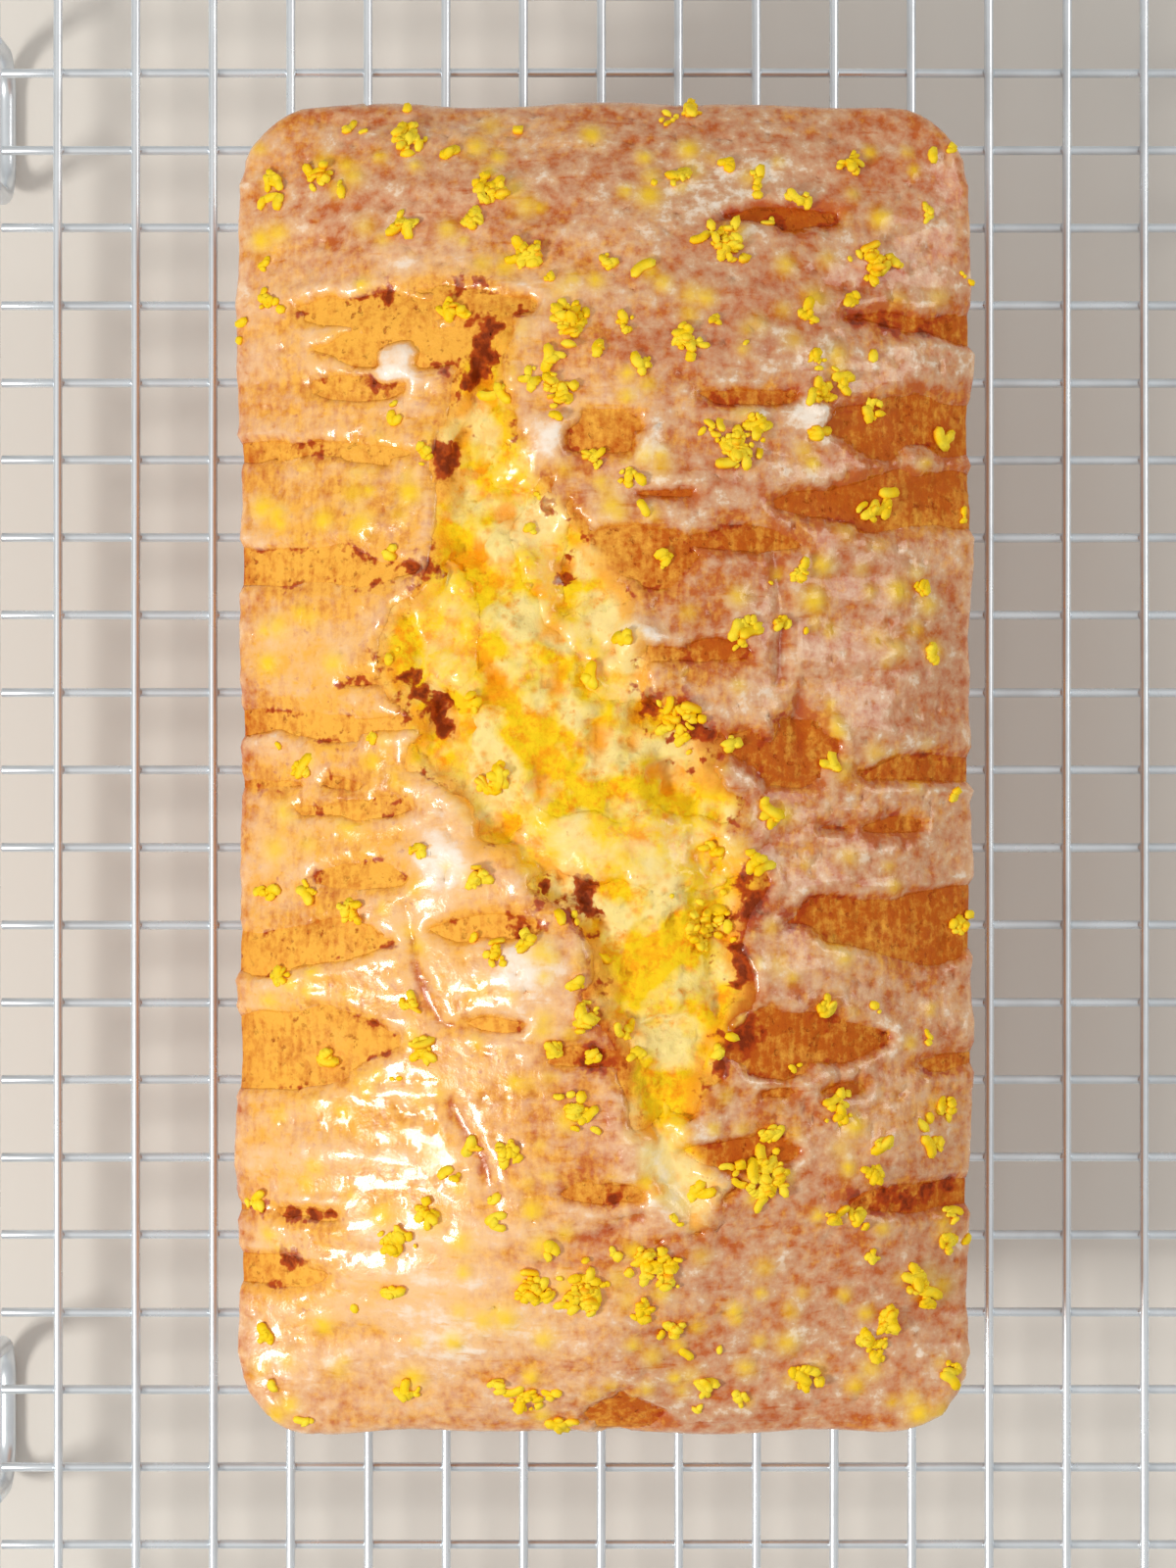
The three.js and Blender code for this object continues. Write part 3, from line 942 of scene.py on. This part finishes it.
def surface_relief(points, crumb, bubbly):
    """How far each point stands out: bubbly crumb, wrinkled and pitted crust, slow bulges."""
    torn = crumb * (0.0011 * bubbly - 0.0011 * smoothstep(0.2, 0.6, lumps(points, 0.0034, seed=8)))
    torn *= 1 - 0.85 * smoothstep(-0.001, 0.003, pool_cover(flat(points)))
    wrinkles = lumps(points, (0.012, 0.0028, 0.006), seed=9)
    pits = smoothstep(0.42, 0.62, lumps(points, 0.0017, seed=10))
    baked = (1 - crumb) * (0.00016 * wrinkles - 0.0005 * pits)
    bulges = 0.0010 * lumps(points, 0.019, seed=16) * smoothstep(0.002, 0.012, points[:, 2])
    return torn + baked + bulges


def hollow_shade(points, outside, bubbly):
    """Painted shade for the crumb: how deep in shade it lies between its lumps, and under the torn
    crust in places.
    """
    coarse, fine = crumb_lumps(points)
    low = coarse + 0.6 * fine + 0.5 * bubbly
    wall = smoothstep(0.0002, -0.0008, outside) * smoothstep(-0.0040, -0.0015, outside)
    wall *= smoothstep(-0.2, 0.3, lumps(points, 0.0060, seed=33))
    return np.maximum(smoothstep(-0.15, -0.85, low), wall)


def browning_and_shade(points, on_top):
    """How dark the crust is: least on the left of the crown, most at its back and right, partly its
    own browning and partly painted shade on the sides away from the light.
    """
    back = smoothstep(0.064, 0.088, points[:, 1])
    front = 0.5 * smoothstep(0.080, 0.100, -points[:, 1])
    right = smoothstep(-0.022, 0.020, points[:, 0])
    darkest = np.maximum(right, np.maximum(0.9 * back, front))
    corners = smoothstep(0.050, 0.085, np.abs(points[:, 1])) * right
    crown = 0.08 + 0.72 * darkest + 0.30 * corners + 0.22 * lumps(flat(points), 0.022, seed=26)
    side = 0.60 + 0.12 * lumps(points, 0.020, seed=18)
    return np.clip(side + (crown - side) * on_top, 0, 1)


def scorching(points, outside, sizes):
    """How near to scorched the crust is, along torn edges, streaks and the caramelised places."""
    torn_edge = np.exp(-np.abs(outside - 0.0004) / 0.0012)
    scorch = 0.66 * torn_edge * smoothstep(0.0, 0.3, lumps(points, 0.0060, seed=11))
    streak_edge = bell(streak_cover(rim_place(points, sizes)), 0.0008)
    patches = smoothstep(0.0, 0.4, lumps(points, (0.006, 0.003, 0.005), seed=12))
    scorch = np.maximum(scorch, 0.85 * streak_edge * patches)
    ragged = 1 + 0.9 * lumps(points, 0.0024, seed=14)
    for across, along, radius in SCORCHES:
        away = np.hypot(points[:, 0] - across, (points[:, 1] - along) * 0.8) / radius
        scorch = np.maximum(scorch, 1.15 * smoothstep(1.4, 0.4, away * ragged))
    return scorch


class LEMONLOAF_OT_loaf(bpy.types.Operator):
    """Bakes the loaf: a tapered tin shape with a domed crown torn open along a split"""

    bl_idname = "lemon_loaf.loaf"
    bl_label = "Loaf"

    def execute(self, context):
        sizes = context.scene.lemon_loaf_sizes
        loaf = self.tin_shape(sizes)
        apply_modifier(loaf, "REMESH", mode="VOXEL", voxel_size=sizes.mesh_size)
        move_points(loaf, open_crown(points_of(loaf), sizes))
        apply_modifier(loaf, "REMESH", mode="VOXEL", voxel_size=sizes.mesh_size)
        apply_modifier(loaf, "SMOOTH", factor=0.5, iterations=3)
        roughen(loaf, sizes)
        loaf.data.transform(Matrix.Translation(LOAF_PLACE))
        only(loaf)
        bpy.ops.object.shade_smooth()
        loaf.data.materials.append(
            crust_finish(context.scene.lemon_loaf_colours, sizes.rim_height)
        )
        settle(loaf, "crust", "loaf")
        return {"FINISHED"}

    def tin_shape(self, sizes):
        """The part that the tin held, about its own base."""
        bpy.ops.mesh.primitive_cube_add(
            size=1,
            location=(0, 0, sizes.rim_height / 2),
            scale=(2 * LOAF_ACROSS, 2 * LOAF_ALONG, sizes.rim_height),
        )
        loaf = new_piece("lemon_loaf")
        base_share = (1 - sizes.taper / LOAF_ACROSS, 1 - sizes.taper / LOAF_ALONG, 1)
        with editing(loaf, lambda face: face.normal.z < -0.9):
            bpy.ops.transform.resize(value=base_share, center_override=(0, 0, 0))
        with editing(loaf, lambda edge: span(edge, 2) > sizes.rim_height / 2, "EDGE"):
            bpy.ops.mesh.bevel(offset=sizes.corner, segments=8, affect="EDGES")
        low = sizes.base_edge / 2
        with editing(loaf, lambda edge: all(v.co.z < low for v in edge.verts), "EDGE"):
            bpy.ops.mesh.bevel(offset=sizes.base_edge, segments=4, affect="EDGES")
        return loaf


# ---- Glaze ----

APRON = 0.0048  # how far the glaze has run down all round
SHORT_DRIP = 0.007
DRIPS = 58
THICKEST = 1.5  # how many times its plain thickness the glaze reaches in beads and pools
MERGED = 0.00015  # points of the skin closer together than this become one


def rim_place(points, sizes):
    """Each point of a side, moved out to the rim above it; the crown's points stay."""
    share = np.clip(points[:, 2] / sizes.rim_height, 0, 1)
    across = 1 - sizes.taper / LOAF_ACROSS * (1 - share)
    along = 1 - sizes.taper / LOAF_ALONG * (1 - share)
    return np.column_stack((points[:, 0] / across, points[:, 1] / along, np.zeros(len(points))))


def streak_run(across, start, end):
    """How much of a streak's reach lies between its widest place and each point, and the reach."""
    reach = end - start
    if start < -SIDE_STREAK:
        return np.maximum(across - start, 0) / reach, reach
    if end > SIDE_STREAK:
        return np.maximum(end - across, 0) / reach, reach
    return np.abs(across - (start + end) / 2) / (reach / 2), reach / 2


def streak_cover(plan):
    """How far each point of the plan lies outside the nearest bare streak."""
    wander = 0.0018 * lumps(plan, (0.020, 0.030, 1), seed=21)
    vary = 1 + 0.55 * lumps(plan, (0.009, 0.006, 1), seed=20)
    frayed = 0.0013 * lumps(plan, (0.012, 0.0040, 1), seed=28)
    frayed += 0.0009 * lumps(plan, (0.006, 0.0017, 1), seed=22)
    frayed += 0.0005 * lumps(plan, (0.003, 0.0012, 1), seed=19)
    cover = np.full(len(plan), 1.0)
    for start, end, along, half in BARE_STREAKS:
        run, reach = streak_run(plan[:, 0], start, end)
        breadth = half * vary * (1 - np.clip(run, 0, 1) ** 2.2) ** 0.7
        breadth -= np.maximum(run - 1, 0) * reach
        cover = np.minimum(cover, np.abs(plan[:, 1] + wander - along) - breadth)
    for across, along, radius, more in THICK_SPOTS:
        if more > BRIDGING:
            cover = np.maximum(cover, 0.8 * radius - away_from(plan, across, along))
    return cover + frayed


def pool_cover(plan):
    """How far inside a pool of glaze each point of the split lies."""
    cover = np.full(len(plan), -1.0)
    frayed = 0.0030 * lumps(plan, 0.0065, seed=23) + 0.0012 * lumps(plan, 0.0024, seed=31)
    for across, along, half_length, half_breadth in POOLS:
        x = (plan[:, 0] - across) / half_length
        y = (plan[:, 1] - along) / half_breadth
        cover = np.maximum(cover, (1 - np.hypot(x, y)) * min(half_length, half_breadth))
    return cover + frayed


def glaze_cover(points, sizes):
    """Roughly how far inside the glaze's edge each point lies; outside it is negative."""
    plan = rim_place(points, sizes)
    cover = streak_cover(plan)
    ragged = 0.0030 * lumps(plan, 0.0070, seed=29)
    on_crumb = np.maximum(split_distance(points) - 0.0008 + ragged, pool_cover(plan))
    cover = np.minimum(cover, on_crumb)
    depth = sizes.rim_height - points[:, 2]
    return np.minimum(cover, np.where(depth > 0, drip_cover(plan, depth, sizes), 1.0))


def rim_point(turn):
    """A point of the rim, a share of the way round it."""
    corners = [(1, -1), (1, 1), (-1, 1), (-1, -1)]
    sides = [LOAF_ALONG, LOAF_ACROSS, LOAF_ALONG, LOAF_ACROSS]
    way = turn * sum(sides)
    for (x, y), (next_x, next_y), side in zip(corners, corners[1:] + corners[:1], sides):
        if way <= side:
            share = way / side
            return (
                LOAF_ACROSS * (x + (next_x - x) * share),
                LOAF_ALONG * (y + (next_y - y) * share),
            )
        way -= side
    return LOAF_ACROSS, -LOAF_ALONG


def drip_cover(plan, depth, sizes):
    """How far inside the apron of glaze and its drips each point of the sides lies."""
    draw = random.Random(11)
    cover = APRON + 0.0026 * lumps(plan, 0.016, seed=24) - depth
    for index in range(DRIPS):
        across, along = rim_point((index + draw.uniform(0.1, 0.9)) / DRIPS)
        half = draw.uniform(0.0013, 0.0030)
        long = SHORT_DRIP + (sizes.drip - SHORT_DRIP) * draw.random() ** 2.2
        aside = away_from(plan, across, along)
        swollen = half * (0.75 + 0.45 * smoothstep(long - 4 * half, long - half, depth))
        past = np.maximum(depth - (long - half), 0)
        drip = swollen - np.hypot(aside, past)
        blend = np.clip(0.5 + (drip - cover) / 0.006, 0, 1)
        cover = cover + (drip - cover) * blend + 0.003 * blend * (1 - blend)
    return cover


def cut_to_cover(piece, cover):
    """Splits the faces along the line where the cover ends, and deletes the bare side."""
    mesh = bmesh.new()
    mesh.from_mesh(piece.data)
    layer = mesh.verts.layers.float.new("cover")
    for vertex, value in zip(mesh.verts, cover.tolist()):
        vertex[layer] = value
    far_bare = [v for v in mesh.verts if all(e.other_vert(v)[layer] < 0 for e in v.link_edges)]
    bmesh.ops.delete(mesh, geom=[v for v in far_bare if v[layer] < 0], context="VERTS")
    bmesh.ops.triangulate(mesh, faces=mesh.faces)
    ends = []
    for edge in list(mesh.edges):
        a, b = edge.verts
        if (a[layer] > 0) == (b[layer] > 0):
            continue
        share = min(max(a[layer] / (a[layer] - b[layer]), 0.02), 0.98)
        end = bmesh.utils.edge_split(edge, a, share)[1]
        end[layer] = 0
        ends.append(end)
    bmesh.ops.connect_verts(mesh, verts=ends)
    bare = [face for face in mesh.faces if sum(v[layer] for v in face.verts) <= 0]
    bmesh.ops.delete(mesh, geom=bare, context="FACES")
    bmesh.ops.remove_doubles(mesh, verts=mesh.verts, dist=MERGED)
    mesh.to_mesh(piece.data)
    mesh.free()


def edge_distance(piece):
    """How far each vertex lies from the open edge of its surface."""
    mesh = bmesh.new()
    mesh.from_mesh(piece.data)
    rim = [vertex.co.copy() for vertex in mesh.verts if vertex.is_boundary]
    places = [vertex.co.copy() for vertex in mesh.verts]
    mesh.free()
    tree = kdtree.KDTree(len(rim))
    for index, place in enumerate(rim):
        tree.insert(place, index)
    tree.balance()
    return np.array([tree.find(place)[2] for place in places])


class LEMONLOAF_OT_glaze(bpy.types.Operator):
    """Pours the glaze: a closed skin over the crust, with bare streaks, pools and drips"""

    bl_idname = "lemon_loaf.glaze"
    bl_label = "Glaze"

    def execute(self, context):
        sizes = context.scene.lemon_loaf_sizes
        glaze = copy_of(bpy.data.objects["lemon_loaf"], "lemon_glaze")
        glaze.data.materials.clear()
        cut_to_cover(glaze, glaze_cover(points_of(glaze) - np.array(LOAF_PLACE), sizes))
        self.thicken(glaze, sizes)
        glaze.data.materials.append(
            glaze_finish(context.scene.lemon_loaf_colours, sizes.rim_height)
        )
        settle(glaze, "glaze", "glaze")
        return {"FINISHED"}

    def thicken(self, glaze, sizes):
        """Raises the skin off the crust by its thickness, and paints how thick it lies."""
        points = points_of(glaze) - np.array(LOAF_PLACE)
        plan = rim_place(points, sizes)
        inward = edge_distance(glaze)
        soft_edge = smoothstep(-0.3, 0.4, lumps(plan, (0.016, 0.006, 1), seed=27))
        feather = np.maximum(0.0010 + 0.0030 * soft_edge, 0.0050 * painted(glaze, "crumb"))
        film = smoothstep(0, 1, inward / feather)
        grains = self.buried(plan, sizes.buried_zest)
        body = self.body(points, plan, inward, soft_edge, sizes)
        paint(glaze, "body", np.clip(body * film, 0, 1.5))
        paint(glaze, "zest", grains * film)
        paint(glaze, "scorch", painted(glaze, "scorch") * (1 - 0.8 * film))
        rounded = np.clip(inward / sizes.glaze_edge, 0, 1) ** (0.65 + 0.55 * soft_edge)
        share = np.clip(body + 0.4 * grains, 0.3, THICKEST) * rounded / THICKEST
        self.raise_skin(glaze, share, sizes)

    def body(self, points, plan, inward, soft_edge, sizes):
        """How thick the glaze lies away from its edges, for a plain thickness of 1."""
        bead = 0.30 * bell(inward - 0.0013, 0.0008) * (1 - soft_edge)
        flow = 0.35 * lumps(plan, (0.018, 0.0042, 1), seed=25, detail=2)
        side = smoothstep(0, 0.004, sizes.rim_height - points[:, 2])
        body = 0.55 + flow + bead + self.thick_spots(plan) + 0.15 * side - self.sheer(plan)
        # Painted shade: the glaze runs thinner along the furrows' creases, so that they show darker.
        return body - 0.5 * crease(points)

    def raise_skin(self, glaze, share, sizes):
        """Gives the skin its thickness, each point a share of the most beyond the edge's film."""
        most = sizes.glaze * THICKEST
        group = glaze.vertex_groups.new(name="thickness")
        for index, weight in enumerate((sizes.glaze_film / most + share).tolist()):
            group.add([index], min(weight, 1.0), "REPLACE")
        move_points(glaze, points_of(glaze) - normals_of(glaze) * sizes.glaze_film / 2)
        apply_modifier(
            glaze, "SOLIDIFY", thickness=most, offset=1, vertex_group="thickness",
            use_quality_normals=True,
        )
        only(glaze)
        bpy.ops.object.shade_smooth_by_angle(angle=math.radians(75))

    def buried(self, plan, count):
        """Soft yellow spots where grains of zest lie under the glaze."""
        draw = random.Random(8)
        total = np.zeros(len(plan))
        for _ in range(count):
            across = draw.uniform(-0.94, 0.94) * LOAF_ACROSS
            along = draw.uniform(-0.97, 0.97) * LOAF_ALONG
            spot = bell(away_from(plan, across, along), draw.uniform(0.0008, 0.0018))
            total = np.maximum(total, draw.uniform(0.4, 1.0) * spot)
        return total

    def thick_spots(self, plan):
        """How much the thick spots add."""
        total = np.zeros(len(plan))
        for across, along, radius, more in THICK_SPOTS:
            total += more * bell(away_from(plan, across, along), radius)
        return total

    def sheer(self, plan):
        """The glaze has run thin on the middle of the left side, and in two places by the split."""
        left = smoothstep(-0.010, -0.035, plan[:, 0])
        middle = smoothstep(-0.075, -0.045, plan[:, 1]) * smoothstep(0.075, 0.055, plan[:, 1])
        place = np.hypot((plan[:, 0] - 0.014) / 0.011, (plan[:, 1] - 0.024) / 0.005)
        front = np.hypot((plan[:, 0] + 0.008) / 0.012, (plan[:, 1] + 0.050) / 0.014)
        return 0.20 * left * middle + 0.35 * bell(place) + 0.25 * bell(front)


# ---- Zest ----


class LEMONLOAF_OT_zest(bpy.types.Operator):
    """Scatters fine curled shreds of lemon zest over the glaze, some of them in heaps"""

    bl_idname = "lemon_loaf.zest"
    bl_label = "Zest"

    shreds = ((1.0, 40), (0.6, 100), (1.25, 80), (0.8, 150), (0.45, 20))  # length's share, curl
    breadth = 0.00125
    thickness = 0.00075
    heap_pieces = 1.6  # how many pieces one unit of a heap's fullness is
    clumps = (1, 2, 3, 5, 7, 9)  # how many loose pieces lie together
    clump_spread = 0.0006
    lowest = 0.00012  # how far a piece's middle stands off the surface
    piled = 0.0011  # how much further the last pieces of a heap do

    def execute(self, context):
        sizes = context.scene.lemon_loaf_sizes
        draw = random.Random(5)
        shapes = [self.grain(sizes.grain, seed) for seed in range(3)]
        shapes += [self.shred(sizes.shred * share, curl) for share, curl in self.shreds]
        ground = self.ground()
        mesh = bmesh.new()
        self.heap(mesh, draw, shapes, ground)
        self.scatter(mesh, draw, shapes, ground, sizes.loose_zest)
        zest = bpy.data.objects.new("lemon_zest", bpy.data.meshes.new("lemon_zest"))
        bpy.context.scene.collection.objects.link(zest)
        mesh.to_mesh(zest.data)
        mesh.free()
        only(zest)
        bpy.ops.object.shade_smooth()
        zest.data.materials.append(zest_finish(context.scene.lemon_loaf_colours))
        for shape in shapes:
            bpy.data.meshes.remove(shape)
        settle(zest, "zest")
        return {"FINISHED"}

    def heap(self, mesh, draw, shapes, ground):
        """Drops the heaps, the later pieces of each lying higher."""
        for across, along, radius, fullness in ZEST_HEAPS:
            for index in range(round(fullness * self.heap_pieces)):
                x = draw.gauss(across, radius * 0.36)
                y = draw.gauss(along, radius * 0.36)
                pile = index / fullness / self.heap_pieces
                self.drop(mesh, draw, draw.choice(shapes), ground, x, y, pile)

    def scatter(self, mesh, draw, shapes, ground, wanted):
        """Drops loose pieces in small clumps, fewest on the middle of the crown's left side."""
        placed = 0
        while placed < wanted:
            x = draw.uniform(-LOAF_ACROSS, LOAF_ACROSS)
            y = draw.uniform(-LOAF_ALONG, LOAF_ALONG)
            chance = 0.30 + 0.4 * (x > -0.02) + 0.3 * (abs(y) > 0.05)
            if draw.random() >= chance:
                continue
            for step in range(draw.choice(self.clumps)):
                shape = draw.choice(shapes)
                near_x = draw.gauss(x, self.clump_spread)
                near_y = draw.gauss(y, self.clump_spread)
                self.drop(mesh, draw, shape, ground, near_x, near_y, step / 12)
                placed += 1

    def grain(self, radius, seed):
        """One irregular grain, a little flat."""
        bpy.ops.mesh.primitive_uv_sphere_add(segments=7, ring_count=5, radius=radius)
        grain = new_piece("grain")
        points = points_of(grain)
        swollen = 1 + 0.45 * lumps(points, radius * 0.9, seed=30 + seed)
        move_points(grain, points * swollen[:, None] * np.array((1.3, 0.95, 0.7)))
        self.shade(grain)
        mesh = grain.data
        bpy.data.objects.remove(grain)
        return mesh

    def shred(self, long, curl):
        """One curled shred: a thin strip with narrow ends, twisted and bent by its curl."""
        bpy.ops.mesh.primitive_cube_add(size=1, scale=(long, self.breadth, self.thickness))
        strip = new_piece("shred")
        with editing(strip, lambda edge: span(edge, 0) > long / 2, "EDGE"):
            bpy.ops.mesh.subdivide(number_cuts=5)
        with editing(strip, lambda face: abs(face.normal.x) > 0.9):
            bpy.ops.transform.resize(value=(1, 0.5, 0.6), center_override=(0, 0, 0))
        for method, axis, turn in (("TWIST", "X", curl / 3), ("BEND", "Z", curl)):
            apply_modifier(
                strip, "SIMPLE_DEFORM", deform_method=method, deform_axis=axis,
                angle=math.radians(turn),
            )
        self.shade(strip)
        mesh = strip.data
        bpy.data.objects.remove(strip)
        return mesh

    def shade(self, piece):
        """Paints shade on the underside of one piece of zest: an amber tint where it faces down."""
        height = points_of(piece)[:, 2]
        paint(piece, "under", 0.75 * smoothstep(0.35, -0.45, height / np.abs(height).max()))

    def ground(self):
        """The top surface that zest lands on."""
        mesh = bmesh.new()
        for name in ("lemon_loaf", "lemon_glaze"):
            mesh.from_mesh(bpy.data.objects[name].data)
        tree = BVHTree.FromBMesh(mesh)
        mesh.free()
        return tree

    def drop(self, mesh, draw, shape, ground, x, y, pile):
        """Adds one piece where it lands, the higher and steeper the further up a pile it is."""
        above = LOAF_PLACE + Vector((x, y, LOAF_HEIGHT + 0.05))
        place, normal, _, _ = ground.ray_cast(above, Vector((0, 0, -1)))
        spin = Matrix.Rotation(draw.uniform(0, 2 * math.pi), 4, "Z")
        tilt = Matrix.Rotation(math.radians(draw.gauss(0, 10 + 35 * pile)), 4, "X")
        size = Matrix.Scale(draw.uniform(0.45, 1.25), 4)
        if place is None or normal.z < 0.3:
            return
        lift = self.lowest + self.piled * pile * draw.random()
        turn = Vector((0, 0, 1)).rotation_difference(normal).to_matrix().to_4x4()
        start = len(mesh.verts)
        mesh.from_mesh(shape)
        mesh.verts.ensure_lookup_table()
        matrix = Matrix.Translation(place + normal * lift) @ turn @ tilt @ spin @ size
        bmesh.ops.transform(mesh, matrix=matrix, verts=mesh.verts[start:])


# ---- Stage ----


class LEMONLOAF_OT_stage(bpy.types.Operator):
    """Sets the plain floor, the soft lights and the camera that looks straight down"""

    bl_idname = "lemon_loaf.stage"
    bl_label = "Stage"

    lens_above_grid = 0.75
    seen_along = 0.2564  # the length of grid that the picture takes in
    aim = (-0.0085, -0.0023)
    light_tint = (1.0, 0.95, 0.88)
    sky_tint = (1.0, 0.97, 0.93, 1)
    sky_round_about = 0.38
    sky_overhead = 0.68

    def execute(self, context):
        bpy.ops.mesh.primitive_plane_add(size=6, location=(0, 0, 0))
        floor = new_piece("floor")
        floor.data.materials.append(floor_finish(context.scene.lemon_loaf_colours))
        self.sky(context.scene)
        self.softbox("key", place=(-0.74, -0.30, 0.80), size=0.22, power=6.3)
        self.softbox("fill", place=(0.95, 0.25, 0.75), size=0.42, power=2.3)
        self.camera(context.scene)
        context.scene.view_settings.view_transform = "Standard"
        return {"FINISHED"}

    def sky(self, scene):
        """An even studio, brighter overhead than round about."""
        world = bpy.data.worlds.new("studio")
        world.use_nodes = True
        nodes, links = world.node_tree.nodes, world.node_tree.links
        heading = nodes.new("ShaderNodeTexCoord")
        split = nodes.new("ShaderNodeSeparateXYZ")
        ramp = nodes.new("ShaderNodeMapRange")
        ramp.inputs["From Min"].default_value = 0.1
        ramp.inputs["To Min"].default_value = self.sky_round_about
        ramp.inputs["To Max"].default_value = self.sky_overhead
        background = nodes["Background"]
        background.inputs["Color"].default_value = self.sky_tint
        links.new(heading.outputs["Generated"], split.inputs[0])
        links.new(split.outputs["Z"], ramp.inputs["Value"])
        links.new(ramp.outputs[0], background.inputs["Strength"])
        scene.world = world

    def softbox(self, name, place, size, power):
        bpy.ops.object.light_add(type="AREA", location=place)
        light = bpy.context.object
        light.name = name
        light.data.energy = power
        light.data.size = size
        light.data.color = self.light_tint
        aim = LOAF_PLACE + Vector((0, 0, LOAF_HEIGHT)) - Vector(place)
        light.rotation_euler = aim.to_track_quat("-Z", "Y").to_euler()

    def camera(self, scene):
        grid_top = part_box(LONG_WIRES[0])[1].z
        bpy.ops.object.camera_add(
            location=(*self.aim, grid_top + self.lens_above_grid), rotation=(0, 0, 0)
        )
        camera = bpy.context.object
        camera.data.lens = camera.data.sensor_width * self.lens_above_grid / self.seen_along
        scene.camera = camera


# ---- Panel and registration ----

OPERATORS = (
    LEMONLOAF_OT_stage,
    LEMONLOAF_OT_grid,
    LEMONLOAF_OT_frame,
    LEMONLOAF_OT_loaf,
    LEMONLOAF_OT_glaze,
    LEMONLOAF_OT_zest,
)


class LEMONLOAF_PT_panel(bpy.types.Panel):
    """Lists the pieces of the lemon loaf and its rack"""

    bl_idname = "LEMONLOAF_PT_panel"
    bl_label = "Lemon Loaf"
    bl_space_type = "VIEW_3D"
    bl_region_type = "UI"
    bl_category = "Lemon Loaf"

    def draw(self, context):
        for settings in (context.scene.lemon_loaf_sizes, context.scene.lemon_loaf_colours):
            for key in settings.bl_rna.properties.keys():
                if key not in ("rna_type", "name"):
                    self.layout.prop(settings, key)
        for operator in OPERATORS:
            self.layout.operator(operator.bl_idname)


CLASSES = (LemonLoafSizes, LemonLoafColours, *OPERATORS, LEMONLOAF_PT_panel)


def register():
    for cls in CLASSES:
        bpy.utils.register_class(cls)
    bpy.types.Scene.lemon_loaf_sizes = PointerProperty(type=LemonLoafSizes)
    bpy.types.Scene.lemon_loaf_colours = PointerProperty(type=LemonLoafColours)


def unregister():
    del bpy.types.Scene.lemon_loaf_colours
    del bpy.types.Scene.lemon_loaf_sizes
    for cls in reversed(CLASSES):
        bpy.utils.unregister_class(cls)


def main():
    register()
    bpy.ops.lemon_loaf.stage()
    bpy.ops.lemon_loaf.grid()
    bpy.ops.lemon_loaf.frame()
    bpy.ops.lemon_loaf.loaf()
    bpy.ops.lemon_loaf.glaze()
    bpy.ops.lemon_loaf.zest()


if __name__ == "__main__":
    main()
